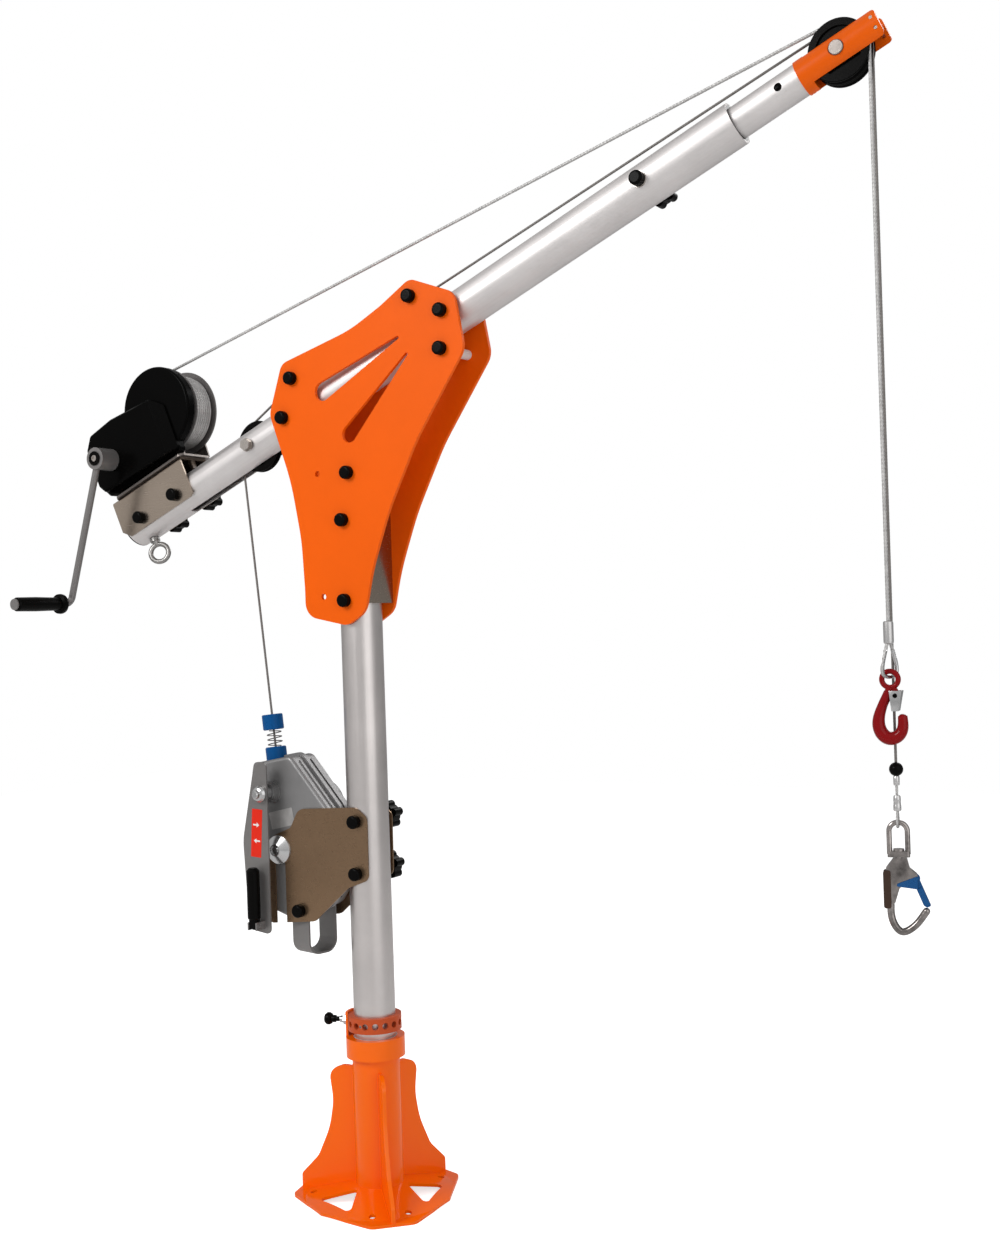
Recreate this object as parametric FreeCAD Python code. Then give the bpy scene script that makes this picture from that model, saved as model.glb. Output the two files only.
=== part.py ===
# Davit crane: floor socket, turning mast, head plates, telescopic boom,
# hand winch, fall arrester, rope sheaves and two hooks.
# Millimetres, +Z up, +X along the boom, origin under the mast on the floor.
import FreeCAD, Part
import math
import os

V = FreeCAD.Vector
os.makedirs("parts", exist_ok=True)

# Clearances shared by the fits
RUN_GAP = 0.05
FREE_GAP = 0.5

# Floor socket
BASE_TURN = 193.3
PLATE_T = 6.0
PLATE_RISE = 24.0
PLATE_FLAT_R = 152.0
PLATE_TIP_R = 179.5
PLATE_TIP_HALF = 14.2
PLATE_MID_R = 150.0
BASE_HOLE_R = 7.0
BASE_HOLE_PCR = 137.0
BASE_HOLE_HALF = 15.0
WINDOW_EDGE = 19.0
WINDOW_OUT_R = PLATE_MID_R - WINDOW_EDGE
WINDOW_IN_R = 58.0
WINDOW_HALF = 24.5
SOCKET_R = 48.5
SOCKET_BORE_R = 44.5
SOCKET_FLOOR_T = 8.0
SOCKET_TOP = 288.0
GUSSET_T = 8.0
WEB_TIP_R = 172.0
COLLAR_R = 60.0
COLLAR_TOP = 328.0
BUSH_H = 60.0
LUG_IN_R = 55.2
LUG_HALF = 17.0
LUG_TOP = 376.0

# Mast and index ring
MAST_R = 42.5
MAST_WALL = 5.0
MAST_FOOT = 20.0
MAST_TOP = 1438.0
RING_R = 54.3
RING_LOW = 341.6
RING_H = 30.4
RING_HOLES = 16
RING_HOLE_R = 6.5
PLUNGER_R = 5.0
PLUNGER_TRAVEL = 9.0
PLUNGER_KNOB_R = 12.5

# Head plates and their cross bolts, in the plane of the boom
HEAD_GAP = 45.2
HEAD_T = 8.0
BOLT_R = 6.0
CAP_R = 13.5
CAP_H = 15.0
PIVOT_Z = 1378.0
PIN_Z = 1216.0
SPARE_PIN = (-54.0, 1225.0)
SPARE_TOP = (-60.0, 1475.0)
STOP_BOLT = (16.0, 1472.0)

# Boom: s runs along its axis, n is upward across it
BOOM_ANGLE = 23.42
BOOM_Z = 1659.0
TUBE_R = 40.0
TUBE_WALL = 4.0
TUBE_REAR = -660.0
TUBE_FRONT = 922.0
INNER_R = 30.0
INNER_WALL = 4.0
INNER_REAR = 430.0
INNER_FRONT = 1053.0
CLAMP_S = 730.0
SLOT_AHEAD = 105.0
SLOT_BEHIND = 215.0
BOLT_A = (221.0, 62.0)
BOLT_B = (272.0, 0.0)
BOLT_C = (240.0, -66.0)
BOLT_D = (-102.0, 62.0)
BOLT_E = (-156.0, 0.0)

# Sheaves and ropes
SHEAVE_R = 54.0
SHEAVE_W = 18.0
SHEAVE_PIN_R = 8.0
ROPE_PITCH_R = 51.0
HEAD_PIN_S = 1129.4
REAR_PIN_S = -271.0
SHEAVE_Y = 9.5
FORK_R = 32.0
FORK_GAP = 20.0
FORK_REACH = 78.6
FORK_TIP = HEAD_PIN_S + FORK_REACH
SLOT_DEPTH = 57.4
FORK_SLOT = HEAD_PIN_S - SLOT_DEPTH
HOIST_ROPE_R = 3.0
LIFE_ROPE_R = 2.4
ROLLER_R = 15.0

# Winch
DRUM_S = -457.0
DRUM_N = 186.0
DRUM_FLANGE_R = 92.0
DRUM_NEAR = -24.0
DRUM_FAR = 43.0
WIND_R = 79.0
CRANK_S = -602.0
CRANK_N = 138.0
CRANK_Y = -125.0
CRANK_LEN = 328.0
CRANK_HUB_R = 24.0
SADDLE_TOP = 66.0
SADDLE_T = 4.0
WINCH_BASE_T = 5.0
WINCH_BOLT_S = (-606.0, -497.0)

# Fall arrester on the mast
BRACKET_IN = 42.6
BRACKET_T = 3.0
ARREST_BOLT_Z = (664.0, 769.0)
AXLE_X = -196.0
AXLE_Z = 704.0
FOOT_BOLT = (-147.0, 580.0)
STRAP_W = 54.0
HOUSING_HALF = 41.5
LEAD_FOOT = (-231.6, 887.0)
CRANK_HUB = (-214.0, 823.0)
ARM_Y = -78.0

# Hooks
HOOK_TOP_Z = 1143.0
LIFE_BALL_Z = 893.0

# Eye bolt, fork screws and keeper pins
EYE_S = -626.0
EYE_N = -76.0
EYE_YAW = 28.0
EYE_RING_R = 20.0
EYE_RING_WIRE = 5.5
KNOB_R = 29.0
KNOB_H = 40.0
FORK_SCREW_S = 1016.0
FORK_SCREW_R = 4.0
KEEPER_S = 1199.0
KEEPER_N = 10.0
KEEPER_R = 3.0

# Winch frame, shafts and wound rope
WINCH_FOOT_S = (-630.0, -470.0)
WINCH_FOOT_Y = 20.0
CHEEK_NEAR = -34.0
CHEEK_FAR = 44.5
CHEEK_T = 4.0
AXLE_R = 10.0
SHAFT_R = 8.0
WIND_PITCH = 6.45
WIND_LOOPS = 8
WIND_Y = -16.5

# Arrester fittings, spring and rescue crank
HANGER_R = 13.5
CONE_R = 30.5
HUB_SHAFT_R = 8.0
GUIDE_R = 22.0
GUIDE_H = 27.0
BUMPER_LOW = 63.0
BUMPER_H = 33.0
SPRING_R = 15.0
SPRING_WIRE = 1.1
SPRING_LOOPS = 3.25
ARM_T = 3.5
GRIP_X = -226.0
GRIP_Y = -98.0
GRIP_LOW = 566.0
GRIP_HIGH = 672.0
GRIP_R = 13.5
GRIP_PIVOT_Z = 552.0

# Hoist hook and snap hook
HOOK_YAW = 6.0
THIMBLE_YAW = 66.0
THIMBLE_LOW = 1050.0
THIMBLE_R = 14.0
THIMBLE_WIRE = 3.5
EYE_R = 13.5
EYE_WIRE = 4.5
HOOK_BAR_R = 8.0
LATCH_PIVOT = (9.0, -27.0)
SNAP_YAW = 14.0
LOOP_YAW = 100.0
LOOP_LOW = 796.0
BOW_R = 15.0
BOW_WIRE = 4.5
SWIVEL_LOW = 742.0
GATE_PIVOT = (25.0, 709.0)
TIP_X = 42.0
TIP_Z = 654.0
TIP_R = 6.2
LEVER_PIVOT = (-15.0, 712.0)


# General shapes

def solid_clean(shape):
    return shape.removeSplitter()


def save(shape, name):
    shape.exportStep("parts/" + name + ".step")


def rod_y(x, z, r, y0, y1):
    return Part.makeCylinder(r, y1 - y0, V(x, y0, z), V(0, 1, 0))


def ring_y(x, z, r_out, r_in, y0, y1):
    return rod_y(x, z, r_out, y0, y1).cut(rod_y(x, z, r_in, y0 - 1, y1 + 1))


def tube_z(r_out, r_in, z0, z1):
    outer = Part.makeCylinder(r_out, z1 - z0, V(0, 0, z0))
    return outer.cut(Part.makeCylinder(r_in, z1 - z0 + 2, V(0, 0, z0 - 1)))


def tube_x(r_out, r_in, s0, s1):
    outer = Part.makeCylinder(r_out, s1 - s0, V(s0, 0, 0), V(1, 0, 0))
    return outer.cut(Part.makeCylinder(r_in, s1 - s0 + 2, V(s0 - 1, 0, 0), V(1, 0, 0)))


def block(x0, x1, y0, y1, z0, z1):
    return Part.makeBox(x1 - x0, y1 - y0, z1 - z0, V(x0, y0, z0))


def hexagon_y(x, z, flat, y0, y1, turn=0.0):
    radius = flat / math.sqrt(3)
    pts = []
    for k in range(7):
        a = math.radians(turn + 60 * k)
        pts.append(V(x + radius * math.cos(a), y0, z + radius * math.sin(a)))
    return Part.Face(Part.makePolygon(pts)).extrude(V(0, y1 - y0, 0))


def rounded_wire(points, radii):
    """Closed wire in XZ from corner points, each corner rounded by its own radius."""
    count = len(points)
    edges = []
    starts = []
    ends = []
    mids = []
    for k in range(count):
        p = V(points[k][0], 0, points[k][1])
        a = V(points[k - 1][0], 0, points[k - 1][1]) - p
        b = V(points[(k + 1) % count][0], 0, points[(k + 1) % count][1]) - p
        a.normalize()
        b.normalize()
        half = a.getAngle(b) / 2
        reach = radii[k] / math.tan(half) if radii[k] > 0 else 0.0
        middle = a + b
        middle.normalize()
        starts.append(p + a * reach)
        ends.append(p + b * reach)
        mids.append(p + middle * (radii[k] / math.sin(half) - radii[k]) if radii[k] > 0 else p)
    for k in range(count):
        if radii[k] > 0:
            edges.append(Part.Arc(starts[k], mids[k], ends[k]).toShape())
        following = starts[(k + 1) % count]
        if (following - ends[k]).Length > 1e-6:
            edges.append(Part.LineSegment(ends[k], following).toShape())
    return Part.Wire(edges)


def plate_y(points, radii, y0, y1):
    face = Part.Face(rounded_wire(points, radii))
    face.translate(V(0, y0, 0))
    return face.extrude(V(0, y1 - y0, 0))


def taper_slot(x0, z0, r0, x1, z1, r1, y0, y1):
    """A tapered slot: two discs and the straight sides that touch both."""
    a = math.atan2(z1 - z0, x1 - x0)
    length = math.hypot(x1 - x0, z1 - z0)
    lean = math.acos((r0 - r1) / length)
    corners = []
    for x, z, r, side in ((x0, z0, r0, 1), (x0, z0, r0, -1), (x1, z1, r1, -1), (x1, z1, r1, 1)):
        t = a + side * lean
        corners.append(V(x + r * math.cos(t), y0, z + r * math.sin(t)))
    web = Part.Face(Part.makePolygon(corners + corners[:1])).extrude(V(0, y1 - y0, 0))
    return web.fuse([rod_y(x0, z0, r0, y0, y1), rod_y(x1, z1, r1, y0, y1)])


def turned_y(profile, x=0.0, z=0.0):
    """Solid of revolution about Y from (radius, y) points."""
    pts = [V(r, y, 0) for r, y in profile]
    face = Part.Face(Part.makePolygon(pts + pts[:1]))
    body = face.revolve(V(0, 0, 0), V(0, 1, 0), 360)
    body.translate(V(x, 0, z))
    return body


def turned_z(profile, x=0.0, y=0.0):
    """Solid of revolution about Z from (radius, z) points."""
    pts = [V(r, 0, z) for r, z in profile]
    face = Part.Face(Part.makePolygon(pts + pts[:1]))
    body = face.revolve(V(0, 0, 0), V(0, 0, 1), 360)
    body.translate(V(x, y, 0))
    return body


def swept_rod(wire, radius):
    """Round bar along a wire whose pieces run smoothly into each other."""
    first = wire.OrderedEdges[0]
    start = first.valueAt(first.FirstParameter)
    along = first.tangentAt(first.FirstParameter)
    if first.Orientation == "Reversed":
        start = first.valueAt(first.LastParameter)
        along = first.tangentAt(first.LastParameter) * -1
    ring = Part.Wire(Part.Edge(Part.Circle(start, along, radius)))
    return wire.makePipeShell([ring], True, False)


def bend_path(points, radius):
    """Straight runs joined by tangent arcs of one radius."""
    edges = []
    here = points[0]
    for k in range(1, len(points) - 1):
        p = points[k]
        a = points[k - 1] - p
        b = points[k + 1] - p
        a.normalize()
        b.normalize()
        half = a.getAngle(b) / 2
        reach = radius / math.tan(half)
        middle = a + b
        middle.normalize()
        enter = p + a * reach
        leave = p + b * reach
        if (enter - here).Length > 1e-6:
            edges.append(Part.LineSegment(here, enter).toShape())
        edges.append(Part.Arc(enter, p + middle * (radius / math.sin(half) - radius), leave).toShape())
        here = leave
    edges.append(Part.LineSegment(here, points[-1]).toShape())
    return Part.Wire(edges)


def star_knob_y(x, z, y0, length, r_out, lobes=5):
    """Hand knob with rounded lobes, its axis along Y, hub towards y0."""
    hub_len = length * 0.35
    body = rod_y(x, z, r_out * 0.42, y0, y0 + hub_len + 1)
    head = rod_y(x, z, r_out * 0.74, y0 + hub_len, y0 + length)
    lobe_r = r_out * 0.30
    for k in range(lobes):
        a = math.radians(90 + 360 / lobes * k)
        cx = x + (r_out - lobe_r) * math.cos(a)
        cz = z + (r_out - lobe_r) * math.sin(a)
        head = head.fuse(rod_y(cx, cz, lobe_r, y0 + hub_len, y0 + length))
    return solid_clean(body.fuse(head))


def cap_y(x, z, face_y, side):
    """Black domed nut cap standing on a face, on the side -1 or +1 of it."""
    low, high = sorted((face_y, face_y + side * CAP_H))
    cap = rod_y(x, z, CAP_R, low, high)
    rim = [e for e in cap.Edges if abs(e.CenterOfMass.y - (face_y + side * CAP_H)) < 0.01]
    return cap.makeFillet(5.0, rim)


def boom_place(shape):
    """From boom coordinates (s, y, n) to the crane's frame."""
    out = shape.copy()
    out.rotate(V(0, 0, 0), V(0, 1, 0), -BOOM_ANGLE)
    out.translate(V(0, 0, BOOM_Z))
    return out


def boom_point(s, y, n):
    a = math.radians(BOOM_ANGLE)
    return V(s * math.cos(a) - n * math.sin(a), y, BOOM_Z + s * math.sin(a) + n * math.cos(a))


def turn_base(shape):
    out = shape.copy()
    out.rotate(V(0, 0, 0), V(0, 0, 1), BASE_TURN)
    return out


# Floor socket: made with its first web along +X, then turned as it stands

def polar(r, degrees):
    return r * math.cos(math.radians(degrees)), r * math.sin(math.radians(degrees))


def flat_on_floor(points, radii, z0, z1):
    body = plate_y(points, radii, 0, -(z1 - z0))
    body.rotate(V(0, 0, 0), V(1, 0, 0), -90)
    low = body.BoundBox.ZMin
    body.translate(V(0, 0, z0 - low))
    return body


def dish(low, high):
    """Turned body between two copies of the plate's dished line, at heights low and high above it."""
    line = [(SOCKET_R, PLATE_RISE), (PLATE_FLAT_R, 0.0), (PLATE_TIP_R + 20.0, 0.0)]
    points = [V(r, 0, z + low) for r, z in line] + [V(r, 0, z + high) for r, z in reversed(line)]
    face = Part.Face(Part.makePolygon(points + points[:1]))
    return face.revolve(V(0, 0, 0), V(0, 0, 1), 360)


def base_plate():
    corners = []
    radii = []
    for k in range(3):
        for r, a, radius in ((PLATE_TIP_R, -PLATE_TIP_HALF, 20.0), (PLATE_TIP_R, PLATE_TIP_HALF, 20.0),
                             (PLATE_MID_R, 60, 16.0)):
            x, y = polar(r, a + 120 * k)
            corners.append((x, -y))
            radii.append(radius)
    tall = PLATE_T + PLATE_RISE + 2
    plate = dish(0, PLATE_T).common(flat_on_floor(corners, radii, -1, tall))
    for k in range(3):
        window = []
        for r, a in ((WINDOW_IN_R, 60), (WINDOW_OUT_R, 60 + WINDOW_HALF), (WINDOW_OUT_R, 60 - WINDOW_HALF)):
            x, y = polar(r, a + 120 * k)
            window.append((x, -y))
        plate = plate.cut(flat_on_floor(window, [7.0, 8.0, 8.0], -1, tall))
        for side in (-1, 1):
            x, y = polar(BASE_HOLE_PCR, 120 * k + side * BASE_HOLE_HALF)
            plate = plate.cut(Part.makeCylinder(BASE_HOLE_R, tall + 1, V(x, y, -1)))
    return turn_base(solid_clean(plate))


def base_gussets():
    foot = PLATE_T - 2
    outline = [(SOCKET_R - 2, foot), (WEB_TIP_R, foot), (WEB_TIP_R, 34.0), (133.0, 74.0), (106.0, 134.0),
               (96.0, 190.0), (104.0, 252.0), (72.0, 264.0), (SOCKET_R - 2, 262.0)]
    radii = [0, 0, 12, 45, 170, 120, 24, 20, 0]
    web = plate_y(outline, radii, -GUSSET_T / 2, GUSSET_T / 2)
    web = web.cut(Part.makeCylinder(SOCKET_R, SOCKET_TOP, V(0, 0, 0)))
    web = web.cut(dish(-40, PLATE_T))
    webs = []
    for k in range(3):
        one = web.copy()
        one.rotate(V(0, 0, 0), V(0, 0, 1), 120 * k)
        webs.append(turn_base(one))
    return Part.makeCompound(webs)


def socket_tube():
    tube = tube_z(SOCKET_R, SOCKET_BORE_R, 0, SOCKET_TOP)
    return solid_clean(tube.fuse(Part.makeCylinder(SOCKET_BORE_R, SOCKET_FLOOR_T)))


def plunger_axis_z():
    return RING_LOW + RING_H / 2


def socket_collar():
    ring = tube_z(COLLAR_R, SOCKET_BORE_R, SOCKET_TOP, COLLAR_TOP)
    wall = tube_z(COLLAR_R, LUG_IN_R, COLLAR_TOP - 2, LUG_TOP)
    half = COLLAR_R * math.sin(math.radians(LUG_HALF))
    lug = wall.common(block(0, COLLAR_R + 5, -half, half, COLLAR_TOP - 5, LUG_TOP + 5))
    body = solid_clean(ring.fuse(lug))
    bore = Part.makeCylinder(PLUNGER_R + 2.0, 40, V(40, 0, plunger_axis_z()), V(1, 0, 0))
    return turn_base(body.cut(bore))


def socket_bushes():
    top = tube_z(SOCKET_BORE_R, MAST_R + RUN_GAP, COLLAR_TOP - BUSH_H, COLLAR_TOP)
    low = tube_z(SOCKET_BORE_R, MAST_R + RUN_GAP, MAST_FOOT + 2, MAST_FOOT + BUSH_H)
    pad = Part.makeCylinder(SOCKET_BORE_R - 1, MAST_FOOT - FREE_GAP - SOCKET_FLOOR_T,
                            V(0, 0, SOCKET_FLOOR_T))
    return Part.makeCompound([top, low, pad])


def plunger_body():
    z = plunger_axis_z()
    sleeve = Part.makeCylinder(PLUNGER_R + 2.0, 20, V(LUG_IN_R, 0, z), V(1, 0, 0))
    nut = hexagon_y(0, 0, 19.0, 0, 7)
    nut.rotate(V(0, 0, 0), V(0, 0, 1), -90)
    nut.translate(V(COLLAR_R, 0, z))
    body = solid_clean(sleeve.fuse(nut))
    body = body.cut(Part.makeCylinder(PLUNGER_R + RUN_GAP, 60, V(40, 0, z), V(1, 0, 0)))
    return turn_base(body)


def plunger_pin():
    z = plunger_axis_z()
    tip = RING_R + FREE_GAP
    shank = Part.makeCylinder(PLUNGER_R, 45, V(tip, 0, z), V(1, 0, 0))
    nose = [e for e in shank.Edges if abs(e.CenterOfMass.x - tip) < 0.01]
    return turn_base(shank.makeChamfer(1.2, nose))


def plunger_knob():
    z = plunger_axis_z()
    face = RING_R + FREE_GAP + 32
    pts = [(PLUNGER_R, 0), (7.5, 0), (7.5, 7), (PLUNGER_KNOB_R - 2, 9), (PLUNGER_KNOB_R, 13),
           (PLUNGER_KNOB_R, 18), (PLUNGER_KNOB_R - 3, 22), (0, 23), (0, 13), (PLUNGER_R, 13)]
    knob = turned_z(pts)
    knob.rotate(V(0, 0, 0), V(0, 1, 0), 90)
    knob.translate(V(face, 0, z))
    return turn_base(knob)


# Mast and index ring

def mast_tube():
    tube = tube_z(MAST_R, MAST_R - MAST_WALL, MAST_FOOT, MAST_TOP)
    for z in (PIVOT_Z, PIN_Z):
        tube = tube.cut(rod_y(0, z, BOLT_R, -60, 60))
    for z in ARREST_BOLT_Z:
        tube = tube.cut(rod_y(0, z, BOLT_R, -60, 60))
    return tube


def index_ring():
    ring = tube_z(RING_R, MAST_R, RING_LOW, RING_LOW + RING_H)
    z = plunger_axis_z()
    for k in range(RING_HOLES):
        hole = Part.makeCylinder(RING_HOLE_R, 20, V(MAST_R - 1, 0, z), V(1, 0, 0))
        hole.rotate(V(0, 0, 0), V(0, 0, 1), BASE_TURN + 360.0 / RING_HOLES * k)
        ring = ring.cut(hole)
    for k in range(3):
        seat = Part.makeCylinder(3.0, 20, V(MAST_R - 1, 0, z), V(1, 0, 0))
        seat.rotate(V(0, 0, 0), V(0, 0, 1), BASE_TURN + 360.0 / RING_HOLES * (5 * k + 3.5))
        ring = ring.cut(seat)
    return ring


def ring_screws():
    z = plunger_axis_z()
    screws = []
    for k in range(3):
        screw = Part.makeCylinder(3.0, RING_R - MAST_R - 0.8, V(MAST_R, 0, z), V(1, 0, 0))
        socket = Part.makeCylinder(1.6, 6, V(RING_R - 3.5, 0, z), V(1, 0, 0))
        screw = screw.cut(socket)
        screw.rotate(V(0, 0, 0), V(0, 0, 1), BASE_TURN + 360.0 / RING_HOLES * (5 * k + 3.5))
        screws.append(screw)
    return Part.makeCompound(screws)


# Head: two shaped plates with cross bolts, sleeves, caps and the front bracket

def head_bolt_centres():
    centres = []
    for s, n in (BOLT_A, BOLT_B, BOLT_C, BOLT_D, BOLT_E):
        p = boom_point(s, 0, n)
        centres.append((p.x, p.z))
    return centres + [STOP_BOLT, (0.0, PIVOT_Z)]


def head_plate(side):
    outline = [(179, 1838), (279, 1799), (299, 1688), (182, 1523), (111, 1389), (67, 1274), (48, 1192),
               (3, 1165), (-101, 1187), (-101, 1241), (-106, 1343), (-128, 1464), (-178, 1607),
               (-143, 1708), (33, 1756), (108, 1794)]
    radii = [26, 30, 40, 400, 600, 500, 38, 34, 34, 300, 400, 500, 34, 26, 300, 160]
    low, high = sorted((side * HEAD_GAP, side * (HEAD_GAP + HEAD_T)))
    plate = plate_y(outline, radii, low, high)
    for x, z in head_bolt_centres() + [(0.0, PIN_Z)]:
        plate = plate.cut(rod_y(x, z, BOLT_R, low - 1, high + 1))
    for x, z in (SPARE_PIN, SPARE_TOP):
        plate = plate.cut(rod_y(x, z, BOLT_R, low - 1, high + 1))
    plate = plate.cut(taper_slot(-40, 1641, 19.5, 146, 1727, 3.5, low - 1, high + 1))
    plate = plate.cut(taper_slot(23, 1549, 17.5, 166, 1692, 3.5, low - 1, high + 1))
    return plate


def head_bolts():
    reach = HEAD_GAP + HEAD_T
    return Part.makeCompound([rod_y(x, z, BOLT_R, -reach, reach) for x, z in head_bolt_centres()])


def head_sleeves():
    a, b, c, d, e, stop, pivot = head_bolt_centres()
    roller_half = SHEAVE_W
    sleeves = [ring_y(a[0], a[1], BOLT_R + 1.2, BOLT_R, -HEAD_GAP, HEAD_GAP),
               ring_y(c[0], c[1], 10.0, BOLT_R, -HEAD_GAP, HEAD_GAP),
               ring_y(stop[0], stop[1], 10.0, BOLT_R, -HEAD_GAP, HEAD_GAP)]
    for side in (-1, 1):
        low, high = sorted((side * (roller_half + FREE_GAP), side * HEAD_GAP))
        sleeves.append(ring_y(d[0], d[1], 9.0, BOLT_R, low, high))
    return Part.makeCompound(sleeves)


def guide_roller():
    d = head_bolt_centres()[3]
    half = SHEAVE_W
    bore = BOLT_R + RUN_GAP
    groove = ROLLER_R
    return turned_y([(bore, -half), (groove + 3, -half), (groove + 3, -half + 4), (groove, -half + 8),
                     (groove, half - 8), (groove + 3, half - 4), (groove + 3, half), (bore, half)],
                     d[0], d[1])


def head_caps():
    reach = HEAD_GAP + HEAD_T
    caps = []
    for x, z in head_bolt_centres():
        caps.append(cap_y(x, z, -reach, -1))
        caps.append(cap_y(x, z, reach, 1))
    caps.append(cap_y(0.0, PIN_Z, -reach, -1))
    return Part.makeCompound(caps)


def tilt_pin():
    reach = HEAD_GAP + HEAD_T
    pin = rod_y(0, PIN_Z, BOLT_R, -reach, reach + 16)
    nose = [e for e in pin.Edges if abs(e.CenterOfMass.y - (reach + 16)) < 0.01]
    pin = pin.makeChamfer(2.0, nose)
    hole = Part.makeCylinder(1.6, 40, V(-20, reach + 8, PIN_Z), V(1, 0, 0))
    return pin.cut(hole)


def pin_clip():
    reach = HEAD_GAP + HEAD_T
    y = reach + 8
    leg = Part.LineSegment(V(-14, y, PIN_Z), V(16, y, PIN_Z)).toShape()
    loop = Part.Arc(V(16, y, PIN_Z), V(28, y, PIN_Z + 12), V(16, y, PIN_Z + 24)).toShape()
    back = Part.LineSegment(V(16, y, PIN_Z + 24), V(2, y, PIN_Z + 24)).toShape()
    return swept_rod(Part.Wire([leg, loop, back]), 1.5)


def front_bracket():
    front = MAST_R + 6.0
    sheet = 2.5
    low, high = PIN_Z - 7, PIVOT_Z + 26
    outer = block(-16, front, -HEAD_GAP, HEAD_GAP, low, high)
    inner = block(-20, front - sheet, -HEAD_GAP + sheet, HEAD_GAP - sheet, low + sheet, high + 1)
    body = outer.cut(inner)
    body = body.cut(Part.makeCylinder(MAST_R + 0.1, 400, V(0, 0, low - 50)))
    body = body.cut(block(-40, 0, -HEAD_GAP + sheet, HEAD_GAP - sheet, low - 1, high + 1))
    for z in (PIVOT_Z, PIN_Z):
        body = body.cut(rod_y(0, z, BOLT_R, -60, 60))
    return body


# Boom tubes

def outer_boom():
    tube = tube_x(TUBE_R, TUBE_R - TUBE_WALL, TUBE_REAR, TUBE_FRONT)
    for s in (BOLT_B[0], BOLT_E[0], CLAMP_S) + WINCH_BOLT_S:
        tube = tube.cut(rod_y(s, 0, BOLT_R, -60, 60))
    tube = tube.cut(rod_y(REAR_PIN_S, 0, SHEAVE_PIN_R, -60, 60))
    slot = SHEAVE_W / 2 + 2
    tube = tube.cut(block(REAR_PIN_S - 62, REAR_PIN_S + 62, -slot, slot, 0, 60))
    tube = tube.cut(block(-495, REAR_PIN_S + 62, -slot, slot, -60, 0))
    tube = tube.cut(Part.makeCylinder(5.0, 30, V(EYE_S, 0, -60)))
    return boom_place(tube)


def mouth_bush():
    return boom_place(tube_x(TUBE_R - TUBE_WALL, INNER_R + RUN_GAP, TUBE_FRONT - 60, TUBE_FRONT))


def eye_bolt():
    yaw = math.radians(EYE_YAW)
    facing = V(-math.sin(yaw), math.cos(yaw), 0)
    ring = Part.makeTorus(EYE_RING_R, EYE_RING_WIRE, V(EYE_S, 0, EYE_N), facing)
    top = -TUBE_R + 0.3
    collar = Part.makeCylinder(11.0, 8.0, V(EYE_S, 0, top - 8.5))
    neck = Part.makeCone(6.5, 9.0, 12, V(EYE_S, 0, top - 18))
    shank = Part.makeCylinder(5.0, 30, V(EYE_S, 0, top - 9))
    body = ring.fuse([neck, collar, shank])
    pad = Part.makeCylinder(TUBE_R, 60, V(EYE_S - 30, 0, 0), V(1, 0, 0))
    shaft = Part.makeCylinder(5.0, 30, V(EYE_S, 0, -TUBE_R - 4))
    body = body.cut(pad).fuse(shaft)
    return boom_place(solid_clean(body))


def eye_nut():
    nut = Part.makeCylinder(8.5, 8, V(EYE_S, 0, -TUBE_R + TUBE_WALL))
    nut = nut.cut(Part.makeCylinder(TUBE_R, 60, V(EYE_S - 30, 0, 0), V(1, 0, 0)).cut(
        Part.makeCylinder(TUBE_R - TUBE_WALL, 60, V(EYE_S - 30, 0, 0), V(1, 0, 0))))
    return boom_place(nut.cut(Part.makeCylinder(5.0, 30, V(EYE_S, 0, -60))))


def rear_plug():
    plug = Part.makeCylinder(TUBE_R - TUBE_WALL, 14, V(TUBE_REAR, 0, 0), V(1, 0, 0))
    lip = Part.makeCylinder(TUBE_R, 4, V(TUBE_REAR - 4, 0, 0), V(1, 0, 0))
    rim = [e for e in lip.Edges if abs(e.CenterOfMass.x - (TUBE_REAR - 4)) < 0.01]
    return boom_place(solid_clean(plug.fuse(lip.makeFillet(2.5, rim))))


def rear_axle():
    reach = TUBE_R + 4
    axle = rod_y(REAR_PIN_S, 0, SHEAVE_PIN_R, -reach, reach)
    washer_n = rod_y(REAR_PIN_S, 0, 14, -reach - 2, -reach)
    head = hexagon_y(REAR_PIN_S, 0, 22, -reach - 9, -reach - 2)
    nut = hexagon_y(REAR_PIN_S, 0, 22, reach + 2, reach + 10)
    washer_f = rod_y(REAR_PIN_S, 0, 14, reach, reach + 2)
    return boom_place(solid_clean(axle.fuse([washer_n, head, washer_f, nut])))


def sheave_shape():
    half = SHEAVE_W / 2
    bore = SHEAVE_PIN_R + RUN_GAP
    root = ROPE_PITCH_R - HOIST_ROPE_R - 0.6
    return turned_y([(bore, -half), (17, -half), (17, -half + 4), (41, -half + 4), (41, -half),
                     (SHEAVE_R - 1.5, -half), (SHEAVE_R, -half + 1.5), (SHEAVE_R, -6.2), (root, -3.2),
                     (root, 3.2), (SHEAVE_R, 6.2), (SHEAVE_R, half - 1.5), (SHEAVE_R - 1.5, half),
                     (41, half), (41, half - 4), (17, half - 4), (17, half), (bore, half)])


def sheave_at(s, y):
    body = sheave_shape()
    body.translate(V(s, y, 0))
    return boom_place(body)


def rear_spacers():
    parts = []
    bore = Part.makeCylinder(TUBE_R - TUBE_WALL, 80, V(REAR_PIN_S - 40, 0, 0), V(1, 0, 0))
    for side in (-1, 1):
        low, high = sorted((side * (SHEAVE_W / 2 + FREE_GAP), side * (TUBE_R - TUBE_WALL - 1)))
        spacer = ring_y(REAR_PIN_S, 0, 13, SHEAVE_PIN_R, low, high)
        parts.append(boom_place(spacer.common(bore)))
    return Part.makeCompound(parts)


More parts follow.
